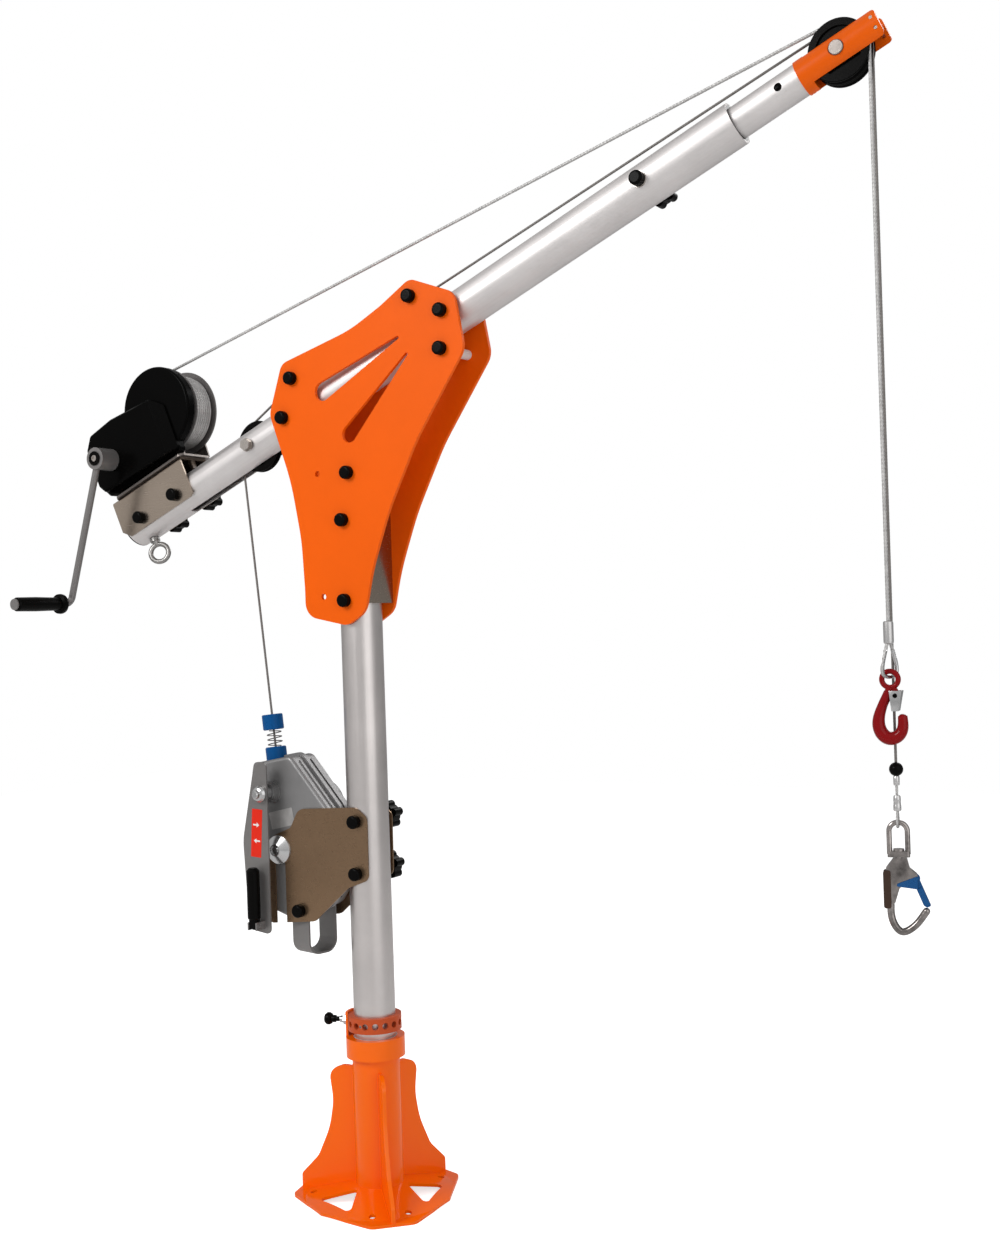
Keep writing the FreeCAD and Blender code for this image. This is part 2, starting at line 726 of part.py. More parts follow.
def inner_boom():
    tube = tube_x(INNER_R, INNER_R - INNER_WALL, INNER_REAR, INNER_FRONT)
    low, high = CLAMP_S - SLOT_BEHIND, CLAMP_S + SLOT_AHEAD
    half = BOLT_R + 1.0
    ends = [rod_y(s, 0, half, -60, 60) for s in (low, high)]
    slot = block(low, high, -60, 60, -half, half).fuse(ends)
    tube = tube.cut(slot)
    tube = tube.cut(rod_y(FORK_SCREW_S, 0, FORK_SCREW_R, -60, 60))
    return boom_place(tube)


def inner_bush():
    return boom_place(tube_x(TUBE_R - TUBE_WALL - RUN_GAP, INNER_R, INNER_REAR, INNER_REAR + 40))


def sheave_fork():
    head = Part.makeCylinder(FORK_R, FORK_TIP - INNER_FRONT, V(INNER_FRONT, 0, 0), V(1, 0, 0))
    head = head.cut(block(FORK_SLOT, FORK_TIP + 1, -FORK_GAP, FORK_GAP, -60, 60))
    corner = plate_y([(INNER_FRONT - 1, -25.5), (FORK_TIP, -25.5), (FORK_TIP, 25.5), (INNER_FRONT - 1, 25.5)],
                     [0, 9, 9, 0], -60, 60)
    rear = Part.makeCylinder(FORK_R, FORK_SLOT - INNER_FRONT + 30, V(INNER_FRONT, 0, 0), V(1, 0, 0))
    head = head.common(corner.fuse(rear))
    spigot = Part.makeCylinder(INNER_R - INNER_WALL, 70, V(INNER_FRONT - 70, 0, 0), V(1, 0, 0))
    body = solid_clean(head.fuse(spigot))
    body = body.cut(rod_y(HEAD_PIN_S, 0, SHEAVE_PIN_R, -60, 60))
    for side in (-1, 1):
        low, high = sorted((side * (FORK_R - 2.5), side * 60))
        body = body.cut(rod_y(HEAD_PIN_S, 0, 14.0, low, high))
        body = body.cut(rod_y(KEEPER_S, side * KEEPER_N, KEEPER_R, -60, 60))
    body = body.cut(rod_y(FORK_SCREW_S, 0, FORK_SCREW_R, -60, 60))
    return boom_place(body)


def fork_pins():
    seat = FORK_R - 2.5
    pin = rod_y(HEAD_PIN_S, 0, SHEAVE_PIN_R, -seat, seat)
    heads = []
    for side in (-1, 1):
        low, high = sorted((side * seat, side * (seat + 4)))
        disc = rod_y(HEAD_PIN_S, 0, 12.8, low, high)
        rim = [e for e in disc.Edges if abs(e.CenterOfMass.y - side * (seat + 4)) < 0.01]
        heads.append(disc.makeChamfer(1.2, rim))
    parts = [solid_clean(pin.fuse(heads))]
    keeper_y = 30.0
    for side in (-1, 1):
        parts.append(rod_y(KEEPER_S, side * KEEPER_N, KEEPER_R, -keeper_y, keeper_y))
    face = INNER_R - 0.8
    screw = rod_y(FORK_SCREW_S, 0, FORK_SCREW_R, -face, face)
    for side in (-1, 1):
        low, high = sorted((side * (face - 4), side * 40))
        screw = screw.cut(hexagon_y(FORK_SCREW_S, 0, 4.0, low, high))
    parts.append(screw)
    return Part.makeCompound([boom_place(p) for p in parts])


def clamp_bolt():
    reach = TUBE_R + 2
    shank = rod_y(CLAMP_S, 0, BOLT_R, -reach, TUBE_R + 30)
    washer = rod_y(CLAMP_S, 0, 15, TUBE_R - 3, TUBE_R + 4)
    washer_n = rod_y(CLAMP_S, 0, 15, -reach, -TUBE_R + 3)
    core = Part.makeCylinder(TUBE_R, 80, V(CLAMP_S - 40, 0, 0), V(1, 0, 0))
    seats = washer.fuse(washer_n).cut(core)
    return boom_place(solid_clean(seats.fuse(shank)))


def boom_caps():
    caps = [cap_y(CLAMP_S, 0, -TUBE_R - 2, -1)]
    for s in WINCH_BOLT_S:
        caps.append(cap_y(s, 0, -TUBE_R - SADDLE_T, -1))
    return Part.makeCompound([boom_place(c) for c in caps])


def clamp_knob():
    knob = star_knob_y(CLAMP_S, 0, TUBE_R + 4 + FREE_GAP, 30, 29)
    return boom_place(knob.cut(rod_y(CLAMP_S, 0, BOLT_R + RUN_GAP, 30, TUBE_R + 31)))


# Winch

def winch_saddle():
    low = -25.0
    outer = block(-668, -449, -TUBE_R - SADDLE_T, TUBE_R + SADDLE_T, low, SADDLE_TOP)
    long_edges = [e for e in outer.Edges if abs(e.CenterOfMass.z - SADDLE_TOP) < 0.01 and e.Length > 200]
    outer = outer.makeFillet(6.0, long_edges)
    body = outer.cut(block(-700, -400, -TUBE_R, TUBE_R, low - 1, SADDLE_TOP - SADDLE_T))
    body = body.cut(plate_y([(-672, low - 4), (-644, low - 4), (-672, low + 22)], [0, 0, 0], -60, 60))
    body = body.cut(plate_y([(-445, low - 4), (-460, low - 4), (-445, low + 11)], [0, 0, 0], -60, 60))
    for s in WINCH_BOLT_S:
        body = body.cut(rod_y(s, 0, BOLT_R, -60, 60))
    for s in WINCH_FOOT_S:
        body = body.cut(Part.makeCylinder(4.0, 40, V(s, WINCH_FOOT_Y, SADDLE_TOP - 20)))
    return boom_place(body)


def winch_frame():
    top = SADDLE_TOP + WINCH_BASE_T
    base = block(-652, -438, -50, 50, SADDLE_TOP, top)
    edges = [e for e in base.Edges if abs(e.CenterOfMass.z - (SADDLE_TOP + WINCH_BASE_T / 2)) < 0.01]
    base = base.makeFillet(12.0, edges)
    near = plate_y([(-650, top - 1), (-440, top - 1), (-425, 186), (-447, 218), (-480, 214), (-622, 168),
                    (-645, 140)], [0, 0, 20, 20, 20, 20, 20], CHEEK_NEAR, CHEEK_NEAR + CHEEK_T)
    far = plate_y([(-540, top - 1), (-440, top - 1), (-430, 190), (-457, 214), (-484, 190)],
                  [0, 0, 18, 18, 18], CHEEK_FAR, CHEEK_FAR + CHEEK_T)
    body = solid_clean(base.fuse([near, far]))
    body = body.cut(rod_y(DRUM_S, DRUM_N, AXLE_R + RUN_GAP, -60, 70))
    body = body.cut(rod_y(CRANK_S, CRANK_N, SHAFT_R + RUN_GAP, -60, 0))
    for s in WINCH_FOOT_S:
        body = body.cut(Part.makeCylinder(4.0, 40, V(s, WINCH_FOOT_Y, SADDLE_TOP - 20)))
    return boom_place(body)


def winch_screws():
    screws = []
    for s in WINCH_FOOT_S:
        low = SADDLE_TOP - SADDLE_T
        shank = Part.makeCylinder(4.0, WINCH_BASE_T + SADDLE_T, V(s, WINCH_FOOT_Y, low))
        head = Part.makeCylinder(7.0, 5, V(s, WINCH_FOOT_Y, SADDLE_TOP + WINCH_BASE_T))
        nut = Part.makeCylinder(7.0, 9, V(s, WINCH_FOOT_Y, low - 9))
        screws.append(boom_place(solid_clean(shank.fuse([head, nut]))))
    for s in WINCH_BOLT_S:
        screws.append(boom_place(rod_y(s, 0, BOLT_R, -TUBE_R - SADDLE_T, TUBE_R + SADDLE_T + 20)))
    return Part.makeCompound(screws)


def winch_knobs():
    knobs = []
    for s in WINCH_BOLT_S:
        knob = star_knob_y(s, 0, TUBE_R + SADDLE_T, KNOB_H, KNOB_R)
        knobs.append(boom_place(knob.cut(rod_y(s, 0, BOLT_R, 30, TUBE_R + SADDLE_T + 20))))
    return Part.makeCompound(knobs)


def gear_cover():
    rear = plate_y([(-667, 198), (-642, 222), (-571, 226), (-430, 200), (-424, 180), (-432, 74), (-655, 76),
                    (-668, 100)], [12, 12, 30, 10, 10, 10, 10, 10], -54, CHEEK_NEAR)
    disc = rod_y(DRUM_S, DRUM_N, DRUM_FLANGE_R + 1.5, -54, CHEEK_NEAR)
    rim = [e for e in disc.Edges if abs(e.CenterOfMass.y + 54) < 0.01]
    disc = disc.makeFillet(5.0, rim)
    box = plate_y([(-663, 192), (-640, 218), (-571, 222), (-452, 207), (-428, 182), (-430, 78), (-652, 84),
                   (-664, 104)], [10, 10, 30, 10, 10, 8, 8, 10], -74, -50)
    face = [e for e in box.Edges if abs(e.CenterOfMass.y + 74) < 0.01]
    box = box.makeChamfer(4.0, face)
    slope = Part.makePolygon([V(-459, -76, 0), V(-418, -76, 0), V(-418, -52, 0), V(-459, -76, 0)])
    box = box.cut(Part.Face(slope).extrude(V(0, 0, 400)))
    body = solid_clean(rear.fuse([disc, box]))
    room = rod_y(DRUM_S, DRUM_N, DRUM_FLANGE_R - 4, -49, CHEEK_NEAR + 1)
    room = room.fuse(rod_y(CRANK_S, CRANK_N, 40, -68, CHEEK_NEAR + 1))
    room = room.fuse(plate_y([(-648, 104), (-472, 100), (-472, 196), (-632, 204)], [8, 8, 8, 8],
                             -68, CHEEK_NEAR + 1))
    body = body.cut(room)
    body = body.cut(rod_y(CRANK_S, CRANK_N, SHAFT_R + 1.0, -100, 0))
    return boom_place(body)


def winch_drum():
    near, far = DRUM_NEAR, DRUM_FAR
    drum = turned_y([(0, CHEEK_NEAR - 8), (AXLE_R, CHEEK_NEAR - 8), (AXLE_R, near), (DRUM_FLANGE_R - 4, near),
                     (DRUM_FLANGE_R, near + 2), (DRUM_FLANGE_R - 2, near + 4), (DRUM_CORE, near + 4),
                     (DRUM_CORE, far - 4), (DRUM_FLANGE_R - 2, far - 4), (DRUM_FLANGE_R, far - 2),
                     (DRUM_FLANGE_R - 4, far), (DRUM_FLANGE_R - 14, far), (DRUM_FLANGE_R - 20, far - 3),
                     (28, far - 3), (24, far), (AXLE_R, far), (AXLE_R, CHEEK_FAR + CHEEK_T + 8),
                     (0, CHEEK_FAR + CHEEK_T + 8)])
    drum.translate(V(DRUM_S, 0, DRUM_N))
    return boom_place(drum)


DRUM_CORE = WIND_R - HOIST_ROPE_R - 0.4


def biarc(p0, t0, p1, t1):
    """Two arcs that meet smoothly, from p0 along t0 to p1 along t1."""
    v = p1 - p0
    t = t0 + t1
    spread = 2 * (1 - t0.dot(t1))
    d = (-v.dot(t) + math.sqrt(v.dot(t) ** 2 + spread * v.dot(v))) / spread
    q0 = p0 + t0 * d
    q1 = p1 - t1 * d
    join = (q0 + q1) * 0.5
    edges = []
    for start, corner, end in ((p0, q0, join), (join, q1, p1)):
        a = start - corner
        b = end - corner
        reach = a.Length
        a.normalize()
        b.normalize()
        half = a.getAngle(b) / 2
        radius = reach * math.tan(half)
        middle = a + b
        middle.normalize()
        halfway = corner + middle * (radius / math.sin(half) - radius)
        edges.append(Part.Arc(start, halfway, end).toShape())
    return edges


def coil_wire(radius, pitch, loops, start_angle, turn_sign):
    """Coil about +Y from y = 0, in quarter turns."""
    quarters = int(round(loops * 4))

    def at(k):
        a = start_angle + turn_sign * math.pi / 2 * k
        rise = pitch / (2 * math.pi)
        p = V(radius * math.cos(a), pitch * k / 4, radius * math.sin(a))
        t = V(-radius * math.sin(a) * turn_sign, rise, radius * math.cos(a) * turn_sign)
        t.normalize()
        return p, t

    edges = []
    for k in range(quarters):
        p0, t0 = at(k)
        p1, t1 = at(k + 1)
        edges += biarc(p0, t0, p1, t1)
    return Part.Wire(edges)


def least_self_gap(wire, radius, loops):
    """Least gap between a wound rod and itself, from points of its centre line half a turn or more apart."""
    per_turn = 72
    points = wire.discretize(Number=int(loops * per_turn) + 1)
    least = min(points[i].distanceToPoint(points[j])
                for i in range(len(points)) for j in range(i + per_turn // 2, len(points)))
    return least - 2 * radius


def run_lean():
    """Angle below the boom axis of the hoist rope from drum to head sheave."""
    gap = V(HEAD_PIN_S - DRUM_S, 0, -DRUM_N)
    return math.atan2(-gap.z, gap.x) + math.asin((WIND_R - ROPE_PITCH_R) / gap.Length)


def hoist_tangent(radius):
    lean = run_lean()
    return radius * math.sin(lean), radius * math.cos(lean)


def hoist_winding():
    lean = run_lean()
    coil = swept_rod(coil_wire(WIND_R, WIND_PITCH, WIND_LOOPS, math.pi / 2 - lean, 1), HOIST_ROPE_R)
    coil.translate(V(DRUM_S, WIND_Y, DRUM_N))
    return boom_place(coil)


def crank_points():
    hub = boom_point(CRANK_S, 0, CRANK_N)
    lean = math.radians(17.4)
    foot = V(hub.x - CRANK_LEN * math.sin(lean), 0, hub.z - CRANK_LEN * math.cos(lean))
    return hub, foot


def winch_crank():
    hub, foot = crank_points()
    shaft = rod_y(hub.x, hub.z, SHAFT_R, CRANK_Y + 3, CHEEK_NEAR + CHEEK_T + 6)
    boss = ring_y(hub.x, hub.z, CRANK_HUB_R, SHAFT_R, CRANK_Y, -76)
    plane = CRANK_Y + 11
    path = bend_path([V(hub.x, plane, hub.z), V(foot.x, plane, foot.z), V(foot.x, -272, foot.z)], 16.0)
    bar = swept_rod(path, 7.5)
    bar = bar.cut(rod_y(hub.x, hub.z, 10, CRANK_Y - 5, 0))
    crank = solid_clean(boss.fuse([bar, shaft]))
    return Part.makeCompound([crank, rod_y(foot.x, foot.z, 12, -275, -272)])


def crank_grip():
    hub, foot = crank_points()
    bore = 7.5 + RUN_GAP
    return turned_y([(bore, -270), (13, -270), (15, -267), (15.5, -215), (14.5, -165), (15, -152),
                     (21.5, -150), (22, -144), (21, -140), (bore, -140)], foot.x, foot.z)


# Fall arrester clamped to the mast

def bracket_plate(side):
    outline = [(-144, 790), (3, 798), (29, 776), (28, 652), (-22, 634), (-109, 560), (-224, 549),
               (-242, 571), (-236, 692), (-212, 732), (-166, 750)]
    radii = [26, 26, 14, 16, 20, 22, 14, 10, 20, 20, 12]
    low, high = sorted((side * BRACKET_IN, side * (BRACKET_IN + BRACKET_T)))
    plate = plate_y(outline, radii, low, high)
    for z in ARREST_BOLT_Z:
        plate = plate.cut(rod_y(0, z, BOLT_R, low - 1, high + 1))
    plate = plate.cut(rod_y(FOOT_BOLT[0], FOOT_BOLT[1], BOLT_R, low - 1, high + 1))
    plate = plate.cut(rod_y(AXLE_X, AXLE_Z, HANGER_R, low - 1, high + 1))
    return plate.cut(block(AXLE_X - HANGER_R, AXLE_X + HANGER_R, low - 1, high + 1, 500, AXLE_Z))


def bracket_plates():
    return Part.makeCompound([bracket_plate(-1), bracket_plate(1)])


def arrester_bolts():
    reach = BRACKET_IN + BRACKET_T
    bolts = [rod_y(0, z, BOLT_R, -reach, reach + 20) for z in ARREST_BOLT_Z]
    bolts.append(rod_y(FOOT_BOLT[0], FOOT_BOLT[1], BOLT_R, -reach, reach))
    return Part.makeCompound(bolts)


def arrester_caps():
    reach = BRACKET_IN + BRACKET_T
    caps = [cap_y(0, z, -reach, -1) for z in ARREST_BOLT_Z]
    caps.append(cap_y(FOOT_BOLT[0], FOOT_BOLT[1], -reach, -1))
    caps.append(cap_y(FOOT_BOLT[0], FOOT_BOLT[1], reach, 1))
    return Part.makeCompound(caps)


def arrester_knobs():
    reach = BRACKET_IN + BRACKET_T
    knobs = []
    for z in ARREST_BOLT_Z:
        knob = star_knob_y(0, z, reach, KNOB_H, KNOB_R)
        knobs.append(knob.cut(rod_y(0, z, BOLT_R, reach - 1, reach + 20)))
    return Part.makeCompound(knobs)


HOUSING = [(-256, 883), (-166, 899), (-72, 790), (-54, 740), (-60, 640), (-100, 585), (-180, 562),
           (-235, 580), (-262, 640), (-268, 780)]
HOUSING_ROUND = [14, 18, 30, 40, 60, 40, 50, 40, 50, 60]


def carry_handle():
    width = STRAP_W
    outer = plate_y([(-37, 486), (37, 486), (37, 620), (-37, 620)], [27, 27, 0, 0], -width / 2,
            width / 2)
    inner = plate_y([(-33, 490), (33, 490), (33, 640), (-33, 640)], [23, 23, 0, 0], -width, width)
    strap = outer.cut(inner)
    strap.rotate(V(0, 0, 0), V(0, 0, 1), 90 - 14)
    strap.translate(V(-146, 0, 0))
    return strap.cut(rod_y(FOOT_BOLT[0], FOOT_BOLT[1], BOLT_R, -60, 60))


def lead_direction():
    """Unit direction of the lifeline from the arrester up to the rear sheave."""
    c = boom_point(REAR_PIN_S, 0, 0)
    gx, gz = c.x - LEAD_FOOT[0], c.z - LEAD_FOOT[1]
    lean = math.atan2(gz, gx) + math.asin(ROPE_PITCH_R / math.hypot(gx, gz))
    return V(math.cos(lean), 0, math.sin(lean))


def lead_point(distance):
    d = lead_direction()
    return V(LEAD_FOOT[0], 0, LEAD_FOOT[1]) + d * distance


def on_lead(profile):
    """Turned solid about the lifeline, from (radius, distance) points."""
    body = turned_z(profile)
    d = lead_direction()
    body.rotate(V(0, 0, 0), V(0, 1, 0), 90 - math.degrees(math.atan2(d.z, d.x)))
    body.translate(V(LEAD_FOOT[0], 0, LEAD_FOOT[1]))
    return body


def arrester_half(side):
    low, high = sorted((0.0, side * HOUSING_HALF))
    body = plate_y(HOUSING, HOUSING_ROUND, low, high)
    outer = [e for e in body.Edges if abs(abs(e.CenterOfMass.y) - HOUSING_HALF) < 0.01]
    body = body.makeFillet(7.0, outer)
    lip_low, lip_high = sorted((0.0, side * 5.0))
    lip_face = Part.Face(rounded_wire(HOUSING, HOUSING_ROUND)).makeOffset2D(5.0)
    lip_face.translate(V(0, lip_low, 0))
    lip = lip_face.extrude(V(0, lip_high - lip_low, 0))
    lip = lip.cut(on_lead([(0, -30), (24, -30), (24, 60), (0, 60)]))
    body = body.fuse(lip)
    rib_low, rib_high = sorted((side * 16.0, side * 22.0))
    rib_face = Part.Face(rounded_wire(HOUSING, HOUSING_ROUND)).makeOffset2D(2.5)
    rib_face.translate(V(0, rib_low, 0))
    rib = rib_face.extrude(V(0, rib_high - rib_low, 0))
    rib = rib.common(block(-158, 0, -60, 60, 600, 888))
    body = solid_clean(body.fuse(rib))
    if side < 0:
        boss = rod_y(CRANK_HUB[0], CRANK_HUB[1], 19, -58, -20)
        boss = boss.fuse(rod_y(CRANK_HUB[0], CRANK_HUB[1], 23, -46, -20))
        body = solid_clean(body.fuse(boss))
        body = body.cut(rod_y(CRANK_HUB[0], CRANK_HUB[1], HUB_SHAFT_R + RUN_GAP, -60, -18))
    else:
        drum = rod_y(-150, 790, 52, 20, 58)
        rim = [e for e in drum.Edges if abs(e.CenterOfMass.y - 58) < 0.01]
        cover = drum.makeFillet(8.0, rim).cut(block(-300, 100, BRACKET_IN - 0.1, 80, 400, 796))
        body = solid_clean(body.fuse(cover))
    body = body.cut(rod_y(FOOT_BOLT[0], FOOT_BOLT[1], BOLT_R, -60, 60))
    body = body.cut(rod_y(AXLE_X, AXLE_Z, HANGER_R - 3, -60, 60))
    body = body.cut(on_lead([(0, 0), (23, 0), (23, 60), (0, 60)]))
    return body.cut(carry_handle())


def hanger_cones():
    """Bright cone ends of the pin that the arrester hangs by, one each side."""
    plate = BRACKET_IN + BRACKET_T
    pin = rod_y(AXLE_X, AXLE_Z, HANGER_R - 3, -HOUSING_HALF, HOUSING_HALF)
    ends = []
    for side in (-1, 1):
        neck = [(0, HOUSING_HALF), (HANGER_R - 0.2, HOUSING_HALF), (HANGER_R - 0.2, plate + 0.2)]
        cone = [(CONE_R - 0.5, plate + 0.2), (CONE_R, plate + 2), (CONE_R - 1, plate + 5), (12.5, plate + 16)]
        socket = [(10.5, plate + 16), (9, plate + 12), (5, plate + 12), (5, plate + 15), (0, plate + 15)]
        shape = turned_y(neck + cone + socket)
        if side < 0:
            shape.rotate(V(0, 0, 0), V(0, 0, 1), 180)
        shape.translate(V(AXLE_X, 0, AXLE_Z))
        ends.append(shape)
    return solid_clean(pin.fuse(ends))


def cable_guide():
    bore = LIFE_ROPE_R + 0.6
    rim = [(GUIDE_R, GUIDE_H - 2), (GUIDE_R - 2, GUIDE_H)]
    return on_lead([(bore, 0), (GUIDE_R, 0)] + rim + [(bore, GUIDE_H)])


def cable_bumper():
    bore = LIFE_ROPE_R + 0.6
    low, high = BUMPER_LOW, BUMPER_LOW + BUMPER_H
    return on_lead([(bore, low), (GUIDE_R - 2, low), (GUIDE_R, low + 2), (GUIDE_R, high - 2),
                    (GUIDE_R - 2, high), (bore, high)])


def spring_pitch():
    return (BUMPER_LOW - GUIDE_H - 2 * SPRING_WIRE - 0.7) / SPRING_LOOPS


def bumper_spring():
    low = GUIDE_H + SPRING_WIRE + 0.3
    pitch = spring_pitch()
    coil = swept_rod(coil_wire(SPRING_R, pitch, SPRING_LOOPS, 0.0, 1), SPRING_WIRE)
    coil.rotate(V(0, 0, 0), V(1, 0, 0), 90)
    d = lead_direction()
    coil.translate(V(0, 0, low))
    coil.rotate(V(0, 0, 0), V(0, 1, 0), 90 - math.degrees(math.atan2(d.z, d.x)))
    coil.translate(V(LEAD_FOOT[0], 0, LEAD_FOOT[1]))
    return coil


def retrieval_arm():
    x, z = CRANK_HUB
    arm = plate_y([(-230, 888), (-199, 890), (-199, 745), (-200, 532), (-256, 540), (-266, 725)],
                  [10, 12, 200, 10, 12, 120], ARM_Y, ARM_Y + ARM_T)
    arm = arm.cut(rod_y(x, z, HUB_SHAFT_R, ARM_Y - 1, ARM_Y + ARM_T + 1))
    lugs = []
    for side in (-1, 1):
        cx = GRIP_X + side * 10.5
        lug = block(cx - 1.5, cx + 1.5, GRIP_Y - 8, ARM_Y + 1, GRIP_PIVOT_Z - 8, GRIP_PIVOT_Z + 8)
        lugs.append(lug)
    body = solid_clean(arm.fuse(lugs))
    pivot = Part.makeCylinder(3.5, 40, V(GRIP_X - 20, GRIP_Y, GRIP_PIVOT_Z), V(1, 0, 0))
    return body.cut(pivot)


def retrieval_shaft():
    x, z = CRANK_HUB
    shaft = rod_y(x, z, HUB_SHAFT_R, ARM_Y - 3, -19)
    spacer = ring_y(x, z, 15, HUB_SHAFT_R, ARM_Y + ARM_T, -58 - FREE_GAP)
    dome = turned_y([(0, ARM_Y), (16.5, ARM_Y), (17, ARM_Y - 8), (13.5, ARM_Y - 13), (9, ARM_Y - 15),
                     (8, ARM_Y - 20), (6, ARM_Y - 22), (0, ARM_Y - 22)], x, z)
    rivet = Part.makeCylinder(3.5, 28, V(GRIP_X - 14, GRIP_Y, GRIP_PIVOT_Z), V(1, 0, 0))
    return Part.makeCompound([solid_clean(shaft.fuse([spacer, dome])), rivet])


def retrieval_grip():
    tongue = block(GRIP_X - 8.5, GRIP_X + 8.5, GRIP_Y - 7, GRIP_Y + 7, GRIP_PIVOT_Z - 6, GRIP_LOW + 1)
    handle = turned_z([(0, GRIP_LOW), (GRIP_R - 2, GRIP_LOW), (GRIP_R, GRIP_LOW + 3),
                       (GRIP_R, GRIP_HIGH - 6), (GRIP_R - 5, GRIP_HIGH), (0, GRIP_HIGH)], GRIP_X, GRIP_Y)
    body = solid_clean(handle.fuse(tongue))
    pivot = Part.makeCylinder(3.5 + RUN_GAP, 60, V(GRIP_X - 30, GRIP_Y, GRIP_PIVOT_Z), V(1, 0, 0))
    return body.cut(pivot)


# Ropes

def tangent_angle(c1, r1, c2, r2):
    """Angle of the normal shared by two circles on their upper side."""
    gx, gz = c2.x - c1.x, c2.z - c1.z
    return math.atan2(gz, gx) + math.acos((r1 - r2) / math.hypot(gx, gz))


def around(c, r, angle, y):
    return V(c.x + r * math.cos(angle), y, c.z + r * math.sin(angle))


def arc_over(c, r, a0, a1, y):
    return Part.Arc(around(c, r, a0, y), around(c, r, (a0 + a1) / 2, y), around(c, r, a1, y)).toShape()


HEAD_C = boom_point(HEAD_PIN_S, 0, 0)
REAR_C = boom_point(REAR_PIN_S, 0, 0)
DRUM_C = boom_point(DRUM_S, 0, DRUM_N)
ROLLER_C = boom_point(BOLT_D[0], 0, BOLT_D[1])
ROLLER_PITCH = ROLLER_R + LIFE_ROPE_R + 0.4
HOIST_TOP = tangent_angle(DRUM_C, WIND_R, HEAD_C, ROPE_PITCH_R)
REAR_TOP = tangent_angle(REAR_C, ROPE_PITCH_R, ROLLER_C, ROLLER_PITCH)
RUN_TOP = tangent_angle(ROLLER_C, ROLLER_PITCH, HEAD_C, ROPE_PITCH_R)


def rope_line(p, q, radius):
    return Part.makeCylinder(radius, (q - p).Length, p, q - p)


def hoist_run():
    return rope_line(around(DRUM_C, WIND_R, HOIST_TOP, WIND_Y), around(HEAD_C, ROPE_PITCH_R,
            HOIST_TOP, -SHEAVE_Y),
                     HOIST_ROPE_R)


def head_wrap(radius, top, y):
    return swept_rod(Part.Wire([arc_over(HEAD_C, ROPE_PITCH_R, top, 0.0, y)]), radius)


def hoist_fall():
    return rope_line(around(HEAD_C, ROPE_PITCH_R, 0, -SHEAVE_Y), V(HOIST_X, -SHEAVE_Y, HOOK_TOP_Z),
            HOIST_ROPE_R)


HOIST_X = HEAD_C.x + ROPE_PITCH_R


def lifeline_lead():
    """From the arrester up to the rear sheave, over it and over the guide roller."""
    c = math.hypot(REAR_C.x - LEAD_FOOT[0], REAR_C.z - LEAD_FOOT[1])
    d = lead_direction()
    start = math.atan2(d.z, d.x) + math.pi / 2
    edges = [Part.LineSegment(lead_point(0),
            lead_point(math.sqrt(c * c - ROPE_PITCH_R ** 2))).toShape(),
             arc_over(REAR_C, ROPE_PITCH_R, start, REAR_TOP, 0),
             Part.LineSegment(around(REAR_C, ROPE_PITCH_R, REAR_TOP, 0),
                              around(ROLLER_C, ROLLER_PITCH, REAR_TOP, 0)).toShape(),
             arc_over(ROLLER_C, ROLLER_PITCH, REAR_TOP, RUN_TOP, 0)]
    return swept_rod(Part.Wire(edges), LIFE_ROPE_R)


def lifeline_run():
    return rope_line(around(ROLLER_C, ROLLER_PITCH, RUN_TOP, 0), around(HEAD_C, ROPE_PITCH_R, RUN_TOP,
            SHEAVE_Y),
                     LIFE_ROPE_R)


def lifeline_fall():
    return rope_line(around(HEAD_C, ROPE_PITCH_R, 0, SHEAVE_Y), V(HOIST_X, SHEAVE_Y,
            LIFE_BALL_Z + 11), LIFE_ROPE_R)


# Hoist hook: built about its own vertical axis at the origin, then placed


def hang(shape, yaw, x, y):
    out = shape.copy()
    out.rotate(V(0, 0, 0), V(0, 0, 1), yaw)
    out.translate(V(x, y, 0))
    return out


def hoist_ferrule():
    low = HOOK_TOP_Z - 38
    body = Part.makeCylinder(8.5, 38, V(0, 0, low))
    ends = [e for e in body.Edges if e.Length < 60 and abs(e.BoundBox.ZLength) < 0.01]
    return hang(body.makeFillet(2.0, ends), 0, HOIST_X, -SHEAVE_Y)


def hoist_thimble():
    centre = THIMBLE_LOW + THIMBLE_R
    top = HOOK_TOP_Z - 38
    lean = math.asin((THIMBLE_R - THIMBLE_WIRE - 0.4) / (top - centre))
    a = math.pi - lean
    edge = THIMBLE_WIRE + 0.4
    left = V(-edge, 0, top)
    right = V(edge, 0, top)
    low_l = V(THIMBLE_R * math.cos(a), 0, centre + THIMBLE_R * math.sin(a))
    low_r = V(-low_l.x, 0, low_l.z)
    wire = Part.Wire([Part.LineSegment(left, low_l).toShape(),
                      Part.Arc(low_l, V(0, 0, THIMBLE_LOW), low_r).toShape(),
                      Part.LineSegment(low_r, right).toShape()])
    loop = swept_rod(wire, THIMBLE_WIRE)
    ferrule = Part.makeCylinder(8.5, 60, V(0, 0, top))
    return hang(loop.cut(ferrule), THIMBLE_YAW, HOIST_X, -SHEAVE_Y)


def hook_eye_z():
    return THIMBLE_LOW + THIMBLE_WIRE + EYE_WIRE + 2 * FREE_GAP - EYE_R


def spline_rod(points, radius):
    curve = Part.BSplineCurve()
    curve.interpolate([V(x, 0, z) for x, z in points])
    return swept_rod(Part.Wire([curve.toShape()]), radius)


